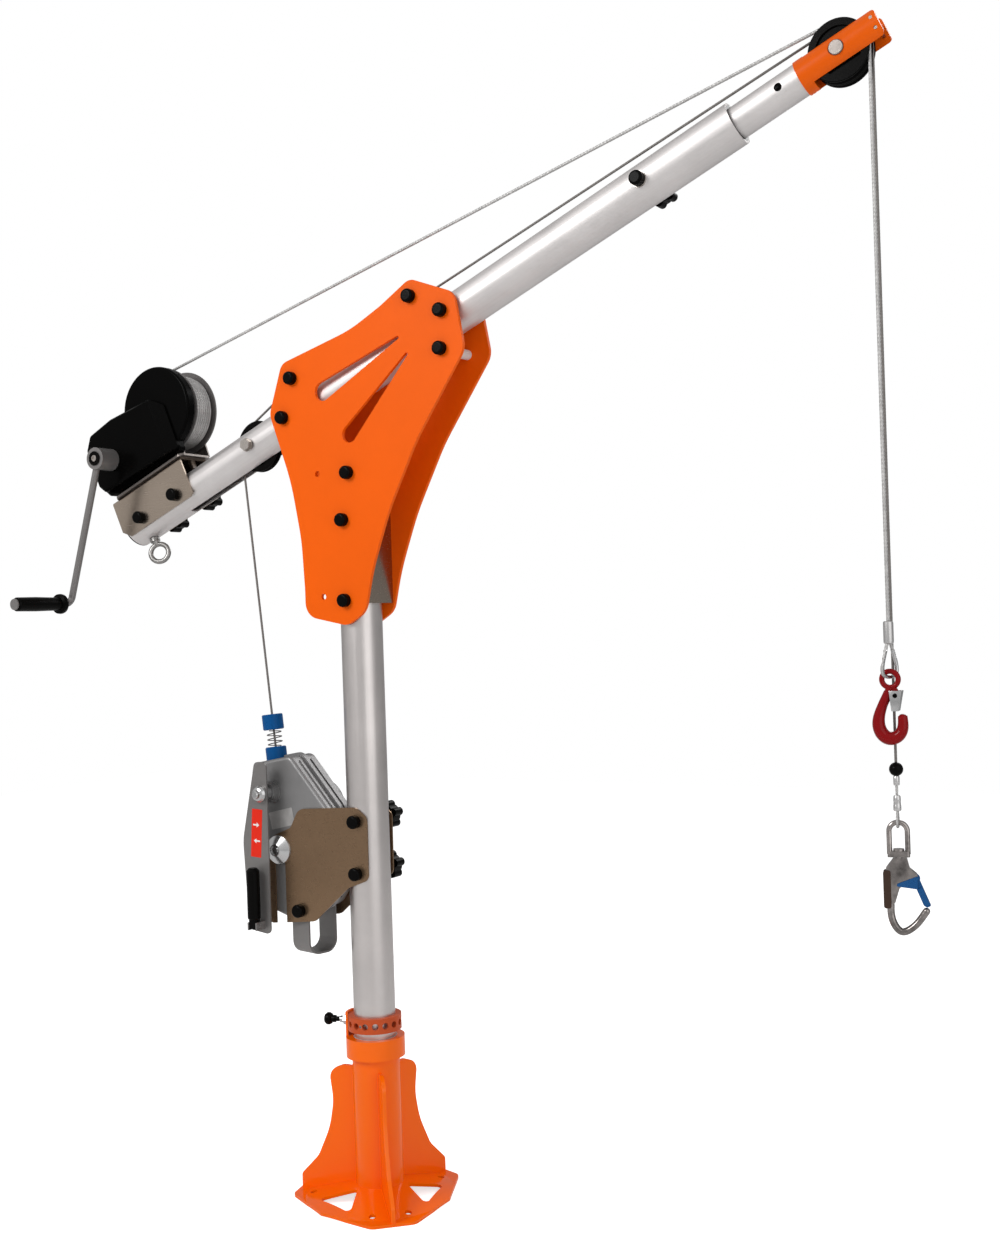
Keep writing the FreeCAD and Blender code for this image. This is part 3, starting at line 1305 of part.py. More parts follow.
def hook_body():
    """Eye hook; z runs down from the centre of its eye."""
    eye = Part.makeTorus(EYE_R, EYE_WIRE, V(0, 0, 0), V(0, 1, 0))
    neck = Part.makeCone(6.5, 7.5, 16, V(0, 0, -13), V(-0.35, 0, -1))
    bowl = spline_rod([(-3, -22), (-12, -40), (-19, -58), (-20.5, -76), (-12, -92), (2, -97.5), (14,
            -91), (19.5, -76),
                       (19, -66)], HOOK_BAR_R)
    tip = Part.makeSphere(HOOK_BAR_R, V(19, 0, -66))
    lug = plate_y([(-4, -12), (11, -14), (15, -27), (9, -34), (-6, -32)], [3, 6, 6, 4, 3], -4.0, 4.0)
    body = eye.cut(Part.makeCylinder(4, 30, V(0, -15, -60), V(0, 1, 0))).fuse([neck, bowl, tip, lug])
    body = body.cut(rod_y(LATCH_PIVOT[0], LATCH_PIVOT[1], 2.5, -20, 20))
    body = body.cut(Part.makeCylinder(EYE_R - EYE_WIRE - 0.1, 40, V(0, -20, 0), V(0, 1, 0)))
    body.translate(V(0, 0, hook_eye_z()))
    return hang(solid_clean(body), HOOK_YAW, HOIST_X, -SHEAVE_Y)


def hook_latch():
    """Zinc safety latch: a folded plate on each side of the lug, joined below."""
    px, pz = LATCH_PIVOT
    plate = plate_y([(px - 4.5, pz + 6), (px + 7, pz + 6), (px + 5.5, pz - 30), (px - 1, pz - 32),
            (px - 2.5, pz - 10)],
                    [4, 5, 3, 3, 6], -7.5, 7.5)
    slot = block(px - 20, px + 20, -4.5, 4.5, pz - 16, pz + 20)
    body = plate.cut(slot)
    reach = Part.makeSphere(HOOK_BAR_R + FREE_GAP, V(19, 0, -66))
    body = body.cut(reach)
    body = body.cut(rod_y(px, pz, 2.5 + RUN_GAP, -20, 20))
    body.translate(V(0, 0, hook_eye_z()))
    return hang(body, HOOK_YAW, HOIST_X, -SHEAVE_Y)


def latch_pin():
    px, pz = LATCH_PIVOT
    body = rod_y(px, pz, 2.5, -9.5, 9.5)
    for side in (-1, 1):
        low, high = sorted((side * 8.0, side * 9.5))
        body = body.fuse(rod_y(px, pz, 4.0, low, high))
    body = solid_clean(body)
    body.translate(V(0, 0, hook_eye_z()))
    return hang(body, HOOK_YAW, HOIST_X, -SHEAVE_Y)


# Lifeline end: stop ball, sleeves, small eye, swivel and snap hook


def stop_ball():
    ball = Part.makeSphere(11.7, V(0, 0, LIFE_BALL_Z))
    ball = ball.cut(Part.makeCylinder(LIFE_ROPE_R, 20, V(0, 0, LIFE_BALL_Z + 11)))
    ball = ball.cut(Part.makeCylinder(20, 20, V(0, 0, LIFE_BALL_Z - 31)))
    return hang(ball, 0, HOIST_X, SHEAVE_Y)


def lifeline_sleeves():
    upper = turned_z([(0, 866), (4.6, 866), (5.2, 868), (5.2, 880), (4.4, 882), (0, 882)])
    lower = turned_z([(0, 823), (6.4, 823), (6.8, 826), (6.0, 847), (5.0, 849), (0, 849)])
    return Part.makeCompound([hang(upper, 0, HOIST_X, SHEAVE_Y), hang(lower, 0, HOIST_X, SHEAVE_Y)])


def lifeline_tail():
    rope = Part.makeCylinder(LIFE_ROPE_R, 17, V(0, 0, 849))
    radius = 9.5
    centre = LOOP_LOW + radius
    left = V(-LIFE_ROPE_R - 0.4, 0, 823)
    turn = Part.Arc(V(-radius, 0, centre), V(0, 0, LOOP_LOW), V(radius, 0, centre))
    wire = Part.Wire([Part.LineSegment(left, V(-radius, 0, centre)).toShape(), turn.toShape(),
                      Part.LineSegment(V(radius, 0, centre), V(-left.x, 0, 823)).toShape()])
    loop = swept_rod(wire, LIFE_ROPE_R)
    loop = loop.cut(Part.makeCylinder(30, 20, V(0, 0, 823)))
    return Part.makeCompound([hang(piece, LOOP_YAW, HOIST_X, SHEAVE_Y) for piece in (rope, loop)])


def swivel_bow():
    top = LOOP_LOW + LIFE_ROPE_R + BOW_WIRE + FREE_GAP
    low = SWIVEL_LOW + 8
    arc_z = top - BOW_R
    wire = Part.Wire([Part.LineSegment(V(-BOW_R, 0, low), V(-BOW_R, 0, arc_z)).toShape(),
                      Part.Arc(V(-BOW_R, 0, arc_z), V(0, 0, top), V(BOW_R, 0, arc_z)).toShape(),
                      Part.LineSegment(V(BOW_R, 0, arc_z), V(BOW_R, 0, low)).toShape()])
    bow = swept_rod(wire, BOW_WIRE)
    bridge = block(-BOW_R - 3.5, BOW_R + 3.5, -6.5, 6.5, SWIVEL_LOW + 3, SWIVEL_LOW + 13)
    edges = [e for e in bridge.Edges if abs(e.BoundBox.ZLength - 10) < 0.01]
    bridge = bridge.makeFillet(5.0, edges)
    body = solid_clean(bow.fuse(bridge))
    body = body.cut(Part.makeCylinder(6.0 + RUN_GAP, 60, V(0, 0, SWIVEL_LOW - 20)))
    return hang(body, SNAP_YAW, HOIST_X, SHEAVE_Y)


def snap_body():
    """Snap hook forging: swivel post, flat shoulder and round bow."""
    post = Part.makeCylinder(6.0, 20, V(0, 0, SWIVEL_LOW - 3))
    button = Part.makeCylinder(9.0, 3.5, V(0, 0, SWIVEL_LOW + 13 + FREE_GAP))
    shoulder = plate_y([(-9, 744.5 - FREE_GAP), (13, 744.5 - FREE_GAP), (17, 727), (30, 716), (28, 701),
                        (12, 699), (0, 694), (-8, 668), (-22, 662), (-22, 727)],
                       [2, 3, 6, 5, 5, 4, 6, 5, 4, 6], -6.5, 6.5)
    bow = spline_rod([(-15, 668), (-15.5, 650), (-10, 630), (1, 619), (16, 624), (32, 640),
                      (TIP_X, TIP_Z)], TIP_R)
    tip = Part.makeSphere(TIP_R, V(TIP_X, 0, TIP_Z))
    body = solid_clean(shoulder.fuse([post, button, bow, tip]))
    pocket = block(12, 60, -3.6, 3.6, 690, 725)
    pocket = pocket.common(rod_y(GATE_PIVOT[0], GATE_PIVOT[1], 15, -10, 10))
    body = body.cut(pocket)
    body = body.cut(rod_y(GATE_PIVOT[0], GATE_PIVOT[1], 2.5, -20, 20))
    body = body.cut(block(-40, -9.5, -3.6, 3.6, 664, 722))
    body = body.cut(rod_y(LEVER_PIVOT[0], LEVER_PIVOT[1], 2.2, -20, 20))
    return hang(body, SNAP_YAW, HOIST_X, SHEAVE_Y)


def snap_pins():
    gate = rod_y(GATE_PIVOT[0], GATE_PIVOT[1], 2.5, -7.2, 7.2)
    lever = rod_y(LEVER_PIVOT[0], LEVER_PIVOT[1], 2.2, -7.2, 7.2)
    return Part.makeCompound([hang(pin, SNAP_YAW, HOIST_X, SHEAVE_Y) for pin in (gate, lever)])


def snap_gate():
    px, pz = GATE_PIVOT
    head = rod_y(px, pz, 8.5, -3.0, 3.0)
    bar = plate_y([(px - 5, pz), (px + 6, pz + 2), (50, 664), (45, 660), (38, 664)],
                  [2, 3, 3, 3, 3], -3.0, 3.0)
    wide = plate_y([(px + 2.5, pz - 17), (px + 11.5, pz - 14), (49, 666), (39, 666)],
                   [3, 3, 2, 2], -6.0, 6.0)
    body = solid_clean(head.fuse([bar, wide]))
    reach = math.hypot(TIP_X - px, TIP_Z - pz)
    body = body.cut(Part.makeTorus(reach, TIP_R + FREE_GAP, V(px, 0, pz), V(0, 1, 0)))
    body = body.cut(rod_y(px, pz, 2.5 + RUN_GAP, -20, 20))
    return hang(body, SNAP_YAW, HOIST_X, SHEAVE_Y)


def snap_lever():
    px, pz = LEVER_PIVOT
    body = plate_y([(px - 12, pz + 6), (px + 3.5, pz + 6), (px, pz - 44), (px - 11, pz - 46)],
                   [4, 3, 3, 3], -3.0, 3.0)
    body = body.cut(rod_y(px, pz, 2.2 + RUN_GAP, -20, 20))
    return hang(body, SNAP_YAW, HOIST_X, SHEAVE_Y)


# Every piece under its own name

def group(*makers):
    return lambda: Part.makeCompound([make() for make in makers])


PIECES = [
    ("base_plate", base_plate), ("base_gussets", base_gussets), ("socket_tube", group(socket_tube,
            socket_collar)),
    ("socket_bushes", socket_bushes), ("plunger_body", plunger_body),
    ("plunger_knob", group(plunger_pin, plunger_knob)), ("mast_tube", mast_tube), ("index_ring",
            index_ring),
    ("mast_fasteners", group(ring_screws, arrester_bolts)),
    ("head_plate_near", lambda: head_plate(-1)), ("head_plate_far", lambda: head_plate(1)),
    ("head_bolts", group(head_bolts, head_sleeves, tilt_pin, pin_clip)), ("guide_roller", guide_roller),
    ("bolt_caps", group(head_caps, boom_caps, arrester_caps)), ("front_bracket", front_bracket),
    ("outer_boom", outer_boom), ("boom_inserts", group(mouth_bush, rear_plug)),
    ("eye_bolt", group(eye_bolt, eye_nut)),
    ("boom_bolts", group(rear_axle, rear_spacers, clamp_bolt, winch_screws)),
    ("star_knobs", group(winch_knobs, arrester_knobs)), ("rear_sheave", lambda: sheave_at(REAR_PIN_S,
            0)),
    ("inner_boom", group(inner_boom, inner_bush)), ("sheave_fork", sheave_fork), ("fork_pins",
            fork_pins),
    ("hoist_sheave", lambda: sheave_at(HEAD_PIN_S, -SHEAVE_Y)),
    ("lifeline_sheave", lambda: sheave_at(HEAD_PIN_S, SHEAVE_Y)), ("clamp_knob", clamp_knob),
    ("winch_saddle", winch_saddle), ("winch_frame", winch_frame), ("gear_cover", gear_cover),
    ("winch_drum", winch_drum), ("hoist_winding", hoist_winding), ("winch_crank", winch_crank),
    ("crank_grip", crank_grip), ("bracket_plates", bracket_plates),
    ("arrester_near", lambda: arrester_half(-1)), ("arrester_far", lambda: arrester_half(1)),
    ("carry_handle", carry_handle), ("hanger_cones", hanger_cones), ("cable_guide", cable_guide),
    ("cable_bumper", cable_bumper), ("bumper_spring", bumper_spring), ("retrieval_arm", retrieval_arm),
    ("retrieval_shaft", retrieval_shaft), ("retrieval_grip", retrieval_grip), ("hoist_run", hoist_run),
    ("head_wraps", lambda: Part.makeCompound([head_wrap(HOIST_ROPE_R, HOIST_TOP, -SHEAVE_Y),
                                              head_wrap(LIFE_ROPE_R, RUN_TOP, SHEAVE_Y)])),
    ("hoist_fall", hoist_fall), ("lifeline_lead", lifeline_lead), ("lifeline_run", lifeline_run),
    ("lifeline_fall", lifeline_fall), ("hoist_thimble", group(hoist_ferrule, hoist_thimble)),
    ("hook_body", group(hook_body, latch_pin)), ("hook_latch", hook_latch), ("stop_ball", stop_ball),
    ("lifeline_end", group(lifeline_sleeves, lifeline_tail)), ("swivel_bow", swivel_bow),
    ("snap_body", group(snap_body, snap_pins)), ("snap_gate", snap_gate), ("snap_lever", snap_lever),
]

COILS = [
    ("hoist_winding", WIND_R, WIND_PITCH, WIND_LOOPS, HOIST_ROPE_R),
    ("bumper_spring", SPRING_R, spring_pitch(), SPRING_LOOPS, SPRING_WIRE),
]
for coil_name, coil_r, coil_pitch, coil_loops, wire_r in COILS:
    coil_path = coil_wire(coil_r, coil_pitch, coil_loops, 0.0, 1)
    print(coil_name, "least gap to itself", round(least_self_gap(coil_path, wire_r, coil_loops), 3))

for piece_name, make in PIECES:
    shape = make()
    save(shape, piece_name)
    print(piece_name, len(shape.Solids), shape.isValid(), round(shape.Volume))
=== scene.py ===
import math

import bpy
from mathutils import Matrix, Vector


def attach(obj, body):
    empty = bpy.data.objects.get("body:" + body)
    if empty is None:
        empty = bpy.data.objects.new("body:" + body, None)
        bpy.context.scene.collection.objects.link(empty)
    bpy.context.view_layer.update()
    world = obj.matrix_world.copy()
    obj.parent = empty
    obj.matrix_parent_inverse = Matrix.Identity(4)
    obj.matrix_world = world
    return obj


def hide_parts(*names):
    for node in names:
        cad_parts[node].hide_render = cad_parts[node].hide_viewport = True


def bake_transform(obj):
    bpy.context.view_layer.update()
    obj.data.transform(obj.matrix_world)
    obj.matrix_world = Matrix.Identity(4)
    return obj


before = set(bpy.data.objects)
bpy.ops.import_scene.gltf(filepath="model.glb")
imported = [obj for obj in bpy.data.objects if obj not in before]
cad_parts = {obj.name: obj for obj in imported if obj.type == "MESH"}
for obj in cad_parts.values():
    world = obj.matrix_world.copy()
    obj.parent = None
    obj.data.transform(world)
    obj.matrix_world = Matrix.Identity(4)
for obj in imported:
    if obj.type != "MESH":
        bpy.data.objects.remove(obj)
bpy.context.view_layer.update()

# The studio: a pale floor in a white surround, a soft key from the upper left and a weaker fill from the
# right. The camera stands a little right of the crane, at about chest height, and looks level.
scene = bpy.context.scene
scene.view_settings.view_transform = "Standard"

stand = Vector((1.8255, -2.5367, 1.1661))
turn, pitch, roll = math.radians(30.561), math.radians(-0.147), math.radians(-1.893)
ahead = Vector((-math.sin(turn) * math.cos(pitch), math.cos(turn) * math.cos(pitch), math.sin(pitch)))
level = Vector((math.cos(turn), math.sin(turn), 0.0))
upright = level.cross(ahead)
right = math.cos(roll) * level + math.sin(roll) * upright
above = -math.sin(roll) * level + math.cos(roll) * upright
camera = bpy.data.objects.new("camera", bpy.data.cameras.new("camera"))
camera.data.lens = 43.97
camera.data.sensor_width = 36.0
camera.data.clip_end = 50.0
camera.matrix_world = Matrix((
    (right.x, above.x, -ahead.x, stand.x),
    (right.y, above.y, -ahead.y, stand.y),
    (right.z, above.z, -ahead.z, stand.z),
    (0.0, 0.0, 0.0, 1.0)))
scene.collection.objects.link(camera)
scene.camera = camera


def add(tree, kind, **values):
    """A new node whose inputs are set by name, with spaces written as underscores."""
    made = tree.nodes.new(kind)
    for key, value in values.items():
        made.inputs[key.replace("_", " ")].default_value = value
    return made


world = bpy.data.worlds.new("studio")
scene.world = world
world.use_nodes = True
sky = world.node_tree
sky.nodes.clear()
ray = add(sky, "ShaderNodeLightPath")
direction = add(sky, "ShaderNodeTexCoord")
split = add(sky, "ShaderNodeSeparateXYZ")
height = add(sky, "ShaderNodeMapRange", From_Min=-0.6, From_Max=0.9, To_Min=0.55, To_Max=1.0)
side = add(sky, "ShaderNodeMapRange", From_Min=-0.9, From_Max=0.9, To_Min=0.86, To_Max=0.42)
side.interpolation_type = "SMOOTHSTEP"
mirror = add(sky, "ShaderNodeMath")
mirror.operation = "MULTIPLY"
soft = add(sky, "ShaderNodeBackground", Strength=0.60)
shown = add(sky, "ShaderNodeBackground", Color=(1, 1, 1, 1), Strength=1.0)
bright = add(sky, "ShaderNodeBackground", Strength=1.0)
glossy_mix = add(sky, "ShaderNodeMixShader")
camera_mix = add(sky, "ShaderNodeMixShader")
sky_out = add(sky, "ShaderNodeOutputWorld")
sky.links.new(direction.outputs["Generated"], split.inputs[0])
sky.links.new(split.outputs["Z"], height.inputs["Value"])
sky.links.new(split.outputs["Y"], side.inputs["Value"])
sky.links.new(height.outputs[0], mirror.inputs[0])
sky.links.new(side.outputs[0], mirror.inputs[1])
sky.links.new(mirror.outputs[0], bright.inputs["Color"])
sky.links.new(ray.outputs["Is Glossy Ray"], glossy_mix.inputs["Fac"])
sky.links.new(soft.outputs[0], glossy_mix.inputs[1])
sky.links.new(bright.outputs[0], glossy_mix.inputs[2])
sky.links.new(ray.outputs["Is Camera Ray"], camera_mix.inputs["Fac"])
sky.links.new(glossy_mix.outputs[0], camera_mix.inputs[1])
sky.links.new(shown.outputs[0], camera_mix.inputs[2])
sky.links.new(camera_mix.outputs[0], sky_out.inputs["Surface"])

bpy.ops.object.select_all(action="DESELECT")
bpy.ops.mesh.primitive_plane_add(size=14.0)
floor = bpy.context.object
floor.name = "floor"
pale = bpy.data.materials.new("pale_floor")
pale.use_nodes = True
floor.data.materials.append(pale)
pale_tree = pale.node_tree
pale_tree.nodes.clear()
seen = add(pale_tree, "ShaderNodeLightPath")
glow = add(pale_tree, "ShaderNodeEmission", Color=(1, 1, 1, 1), Strength=0.70)
chalk = add(pale_tree, "ShaderNodeBsdfDiffuse", Color=(0.86, 0.86, 0.86, 1))
lit = add(pale_tree, "ShaderNodeAddShader")
shown_floor = add(pale_tree, "ShaderNodeMixShader")
floor_out = add(pale_tree, "ShaderNodeOutputMaterial")
pale_tree.links.new(glow.outputs[0], lit.inputs[0])
pale_tree.links.new(chalk.outputs[0], lit.inputs[1])
pale_tree.links.new(seen.outputs["Is Camera Ray"], shown_floor.inputs["Fac"])
pale_tree.links.new(chalk.outputs[0], shown_floor.inputs[1])
pale_tree.links.new(lit.outputs[0], shown_floor.inputs[2])
pale_tree.links.new(shown_floor.outputs[0], floor_out.inputs["Surface"])

for lamp_name, place, aim, size, power in (
        ("key", (-1.2, -3.4, 3.2), (0.2, 0.0, 1.0), 1.6, 80.0),
        ("fill", (3.6, -1.6, 1.8), (0.4, 0.0, 0.9), 3.4, 32.0),
        ("rim", (0.6, 3.2, 3.0), (0.2, 0.0, 1.4), 1.6, 30.0)):
    lamp = bpy.data.objects.new(lamp_name, bpy.data.lights.new(lamp_name, "AREA"))
    lamp.data.size = size
    lamp.data.energy = power
    lamp.location = place
    lamp.rotation_euler = (Vector(aim) - Vector(place)).to_track_quat("-Z", "Y").to_euler()
    scene.collection.objects.link(lamp)


# The base is a three-lobed plate, a socket and three curved webs, welded up from steel and powder coated
# in a bright glossy orange. Its finish, like all the others, mixes two node groups: a fine grain that can
# be stretched one way for drawn or brushed metal, and slow clouds that let a colour drift over a part.
def new_group(name, inputs, outputs):
    """A new node group with its sockets, and the nodes of its inputs and outputs."""
    tree = bpy.data.node_groups.new(name, "ShaderNodeTree")
    for label, kind, value in inputs:
        socket = tree.interface.new_socket(name=label, in_out="INPUT", socket_type=kind)
        if value is not None:
            socket.default_value = value
    for label, kind in outputs:
        tree.interface.new_socket(name=label, in_out="OUTPUT", socket_type=kind)
    return tree, tree.nodes.new("NodeGroupInput"), tree.nodes.new("NodeGroupOutput")


grain, grain_in, grain_out = new_group(
    "grain",
    [("Vector", "NodeSocketVector", None), ("Scale", "NodeSocketFloat", 400.0),
     ("Depth", "NodeSocketFloat", 0.1)],
    [("Mask", "NodeSocketFloat"), ("Normal", "NodeSocketVector")])
grain_noise = add(grain, "ShaderNodeTexNoise", Detail=3.0, Roughness=0.6)
grain_bump = add(grain, "ShaderNodeBump", Distance=0.0004)
grain.links.new(grain_in.outputs["Vector"], grain_noise.inputs["Vector"])
grain.links.new(grain_in.outputs["Scale"], grain_noise.inputs["Scale"])
grain.links.new(grain_in.outputs["Depth"], grain_bump.inputs["Strength"])
grain.links.new(grain_noise.outputs["Fac"], grain_bump.inputs["Height"])
grain.links.new(grain_noise.outputs["Fac"], grain_out.inputs["Mask"])
grain.links.new(grain_bump.outputs["Normal"], grain_out.inputs["Normal"])

drift, drift_in, drift_out = new_group(
    "drift",
    [("Vector", "NodeSocketVector", None), ("Scale", "NodeSocketFloat", 6.0), ("Low", "NodeSocketFloat", 0.0),
     ("High", "NodeSocketFloat", 1.0)],
    [("Value", "NodeSocketFloat")])
drift_noise = add(drift, "ShaderNodeTexNoise", Detail=4.0, Roughness=0.55)
drift_range = add(drift, "ShaderNodeMapRange", From_Min=0.3, From_Max=0.7)
drift.links.new(drift_in.outputs["Vector"], drift_noise.inputs["Vector"])
drift.links.new(drift_in.outputs["Scale"], drift_noise.inputs["Scale"])
drift.links.new(drift_noise.outputs["Fac"], drift_range.inputs["Value"])
drift.links.new(drift_in.outputs["Low"], drift_range.inputs["To Min"])
drift.links.new(drift_in.outputs["High"], drift_range.inputs["To Max"])
drift.links.new(drift_range.outputs[0], drift_out.inputs["Value"])


def finish(name, colour, rough, metal=0.0, coat=0.0, grain_scale=400.0, depth=0.1, stretch=(1.0, 1.0, 1.0),
           lean=0.0, shade=0.9, cloud=6.0, shine=0.5):
    """A finish with grain in its normal, and slow drift in its colour and its roughness."""
    made = bpy.data.materials.new(name)
    made.use_nodes = True
    tree = made.node_tree
    tree.nodes.clear()
    where = add(tree, "ShaderNodeTexCoord")
    pose = add(tree, "ShaderNodeMapping")
    pose.inputs["Rotation"].default_value = (0.0, math.radians(lean), 0.0)
    pull = add(tree, "ShaderNodeMapping", Scale=stretch)
    fine = tree.nodes.new("ShaderNodeGroup")
    fine.node_tree = grain
    fine.inputs["Scale"].default_value = grain_scale
    fine.inputs["Depth"].default_value = depth
    slow = tree.nodes.new("ShaderNodeGroup")
    slow.node_tree = drift
    slow.inputs["Scale"].default_value = cloud
    tone = add(tree, "ShaderNodeMix")
    tone.data_type = "RGBA"
    tone.inputs["A"].default_value = (colour[0] * shade, colour[1] * shade, colour[2] * shade, 1.0)
    tone.inputs["B"].default_value = (colour[0], colour[1], colour[2], 1.0)
    sheen = add(tree, "ShaderNodeMapRange", From_Min=0.25, From_Max=0.75, To_Min=rough * 0.82,
                To_Max=rough * 1.22)
    skin = add(tree, "ShaderNodeBsdfPrincipled", Metallic=metal, Coat_Weight=coat, Coat_Roughness=0.08,
               Specular_IOR_Level=shine)
    out = add(tree, "ShaderNodeOutputMaterial")
    tree.links.new(where.outputs["Object"], pose.inputs["Vector"])
    tree.links.new(pose.outputs[0], pull.inputs["Vector"])
    tree.links.new(pull.outputs[0], fine.inputs["Vector"])
    tree.links.new(where.outputs["Object"], slow.inputs["Vector"])
    tree.links.new(slow.outputs["Value"], tone.inputs["Factor"])
    tree.links.new(tone.outputs["Result"], skin.inputs["Base Color"])
    tree.links.new(fine.outputs["Mask"], sheen.inputs["Value"])
    tree.links.new(sheen.outputs[0], skin.inputs["Roughness"])
    tree.links.new(fine.outputs["Normal"], skin.inputs["Normal"])
    tree.links.new(skin.outputs[0], out.inputs["Surface"])
    return made


def dress(material, *names):
    """Gives CAD pieces a finish."""
    for name in names:
        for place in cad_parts[name].material_slots:
            place.material = material


base_orange = finish("base_orange", (1.0, 0.150, 0.0004), 0.13, grain_scale=260.0, depth=0.05, shade=0.97,
                     shine=0.24)
dress(base_orange, "base_plate", "base_gussets", "socket_tube")

# Two plain bushes line the socket, so that the mast does not turn metal on metal. They are turned from pale
# nylon and pressed into the socket tube.
nylon = finish("nylon", (0.62, 0.60, 0.55), 0.5, grain_scale=300.0, depth=0.1)
dress(nylon, "socket_bushes")

# The mast is one drawn aluminium tube, anodised to a satin silver, that stands in the socket. Faint draw
# lines run along its length, so its grain is stretched upright.
mast_metal = finish("mast_metal", (0.66, 0.62, 0.605), 0.34, metal=1.0, grain_scale=260.0, depth=0.10,
                    stretch=(1.0, 1.0, 0.02), shade=0.86, cloud=9.0)
dress(mast_metal, "mast_tube")

# Two head plates hold the mast and the boom between them. They are cut from steel plate and powder coated
# in a satin orange. The index ring round the mast's foot is steel too, and its coat is browner.
head_orange = finish("head_orange", (0.90, 0.118, 0.0006), 0.42, grain_scale=420.0, depth=0.16, shade=0.95,
                     shine=0.1)
dress(head_orange, "head_plate_near", "head_plate_far")
ring_orange = finish("ring_orange", (0.56, 0.078, 0.014), 0.42, grain_scale=420.0, depth=0.12, shade=0.9,
                     shine=0.25)
dress(ring_orange, "index_ring")

# The fork at the boom's tip carries the two head sheaves. It is cast steel in a smooth orange, a little
# duller than the base, and a screw holds it in the inner tube.
fork_orange = finish("fork_orange", (0.80, 0.112, 0.002), 0.30, grain_scale=260.0, depth=0.06, shade=0.96,
                     shine=0.12)
dress(fork_orange, "sheave_fork")

# The boom is two aluminium tubes that slide in one another, drawn and anodised like the mast. Their draw
# lines run along the boom, so the grain is turned by the boom's tilt and stretched that way.
boom_metal = finish("boom_metal", (0.73, 0.70, 0.69), 0.50, metal=1.0, grain_scale=260.0, depth=0.10,
                    stretch=(0.02, 1.0, 1.0), lean=23.42, shade=0.88, cloud=9.0)
dress(boom_metal, "outer_boom", "inner_boom")

# Bent stainless sheet makes the bracket in the head and the winch's saddle, which are bolted on. Their brown
# tint is painted reflection, the brown that the bright sheet mirrors. The arrester's two bracket plates are
# cut from a browner sheet.
stainless = finish("stainless", (0.43, 0.355, 0.29), 0.24, metal=1.0, grain_scale=300.0, depth=0.08,
                   stretch=(0.06, 1.0, 1.0), shade=0.82, cloud=5.0)
dress(stainless, "front_bracket", "winch_saddle")
brown_steel = finish("brown_steel", (0.245, 0.155, 0.090), 0.30, metal=0.85, grain_scale=420.0, depth=0.05,
                     stretch=(0.2, 1.0, 1.0), shade=0.84, cloud=4.0)
dress(brown_steel, "bracket_plates")

# Bolts and screws are plain turned steel, a little brown with oil. The sleeves on the head's bolts are pale,
# and the pins through the fork are darker, with a mottled skin.
bolt_steel = finish("bolt_steel", (0.42, 0.385, 0.355), 0.30, metal=1.0, grain_scale=700.0, depth=0.10)
dress(bolt_steel, "mast_fasteners", "boom_bolts")
sleeve_white = finish("sleeve_white", (0.72, 0.71, 0.69), 0.40, grain_scale=500.0, depth=0.08, shade=0.9,
                      shine=0.3)
dress(sleeve_white, "head_bolts")
pin_steel = finish("pin_steel", (0.29, 0.26, 0.24), 0.32, metal=1.0, grain_scale=300.0, depth=0.20, shade=0.7,
                   cloud=40.0)
dress(pin_steel, "fork_pins")

# The plunger's body and the arrester's small fittings are turned from steel and zinc plated. The eye bolt at
# the boom's rear end is forged, and its zinc is duller.
zinc = finish("zinc", (0.58, 0.58, 0.58), 0.22, metal=1.0, grain_scale=500.0, depth=0.08, shade=0.82)
dress(zinc, "hanger_cones", "plunger_body", "retrieval_shaft")
eye_zinc = finish("eye_zinc", (0.33, 0.32, 0.31), 0.36, metal=1.0, grain_scale=500.0, depth=0.06, shade=0.85)
dress(eye_zinc, "eye_bolt")

# The winch's frame is folded from steel sheet, zinc plated and gone dull. Screws and knobs hold it on
# the saddle.
dull_zinc = finish("dull_zinc", (0.23, 0.205, 0.19), 0.34, metal=0.9, grain_scale=420.0, depth=0.12,
                   shade=0.8)
dress(dull_zinc, "winch_frame")

# Caps, knobs, sheaves, grips and the stop ball are black plastic, moulded with a light grain. They are pushed
# or screwed on, or turn on their pins.
black_plastic = finish("black_plastic", (0.0026, 0.0024, 0.0022), 0.26, grain_scale=900.0, depth=0.12,
                       shade=0.7, shine=0.05)
dress(black_plastic, "bolt_caps", "star_knobs", "clamp_knob", "hoist_sheave", "lifeline_sheave",
      "rear_sheave", "guide_roller", "crank_grip", "retrieval_grip", "boom_inserts", "plunger_knob",
      "stop_ball")

# The winch's round cover and gear case are pressed from steel sheet and painted black. They close the gears
# on the crank's side.
black_paint = finish("black_paint", (0.0018, 0.0017, 0.0016), 0.22, grain_scale=500.0, depth=0.10, shade=0.75,
                     shine=0.03)
dress(black_paint, "gear_cover")

# The winch's crank and the arrester's arm and strap are steel in plain grey paint. The winch's drum is a
# darker, barer grey, and so is the bumper's spring.
grey_paint = finish("grey_paint", (0.215, 0.205, 0.20), 0.36, metal=0.4, grain_scale=420.0, depth=0.14,
                    shade=0.88, shine=0.3)
dress(grey_paint, "winch_crank", "retrieval_arm", "carry_handle")
drum_grey = finish("drum_grey", (0.145, 0.136, 0.133), 0.40, metal=0.5, grain_scale=420.0, depth=0.12,
                   shade=0.8, shine=0.25)
dress(drum_grey, "winch_drum")

# The arrester's housing is a pair of ribbed aluminium castings, screwed together and blasted to a matt grey.
# Its grain is coarse, like that of a sand casting.
casting = finish("casting", (0.285, 0.28, 0.28), 0.42, metal=0.65, grain_scale=650.0, depth=0.3, shade=0.74)
dress(casting, "arrester_near", "arrester_far")

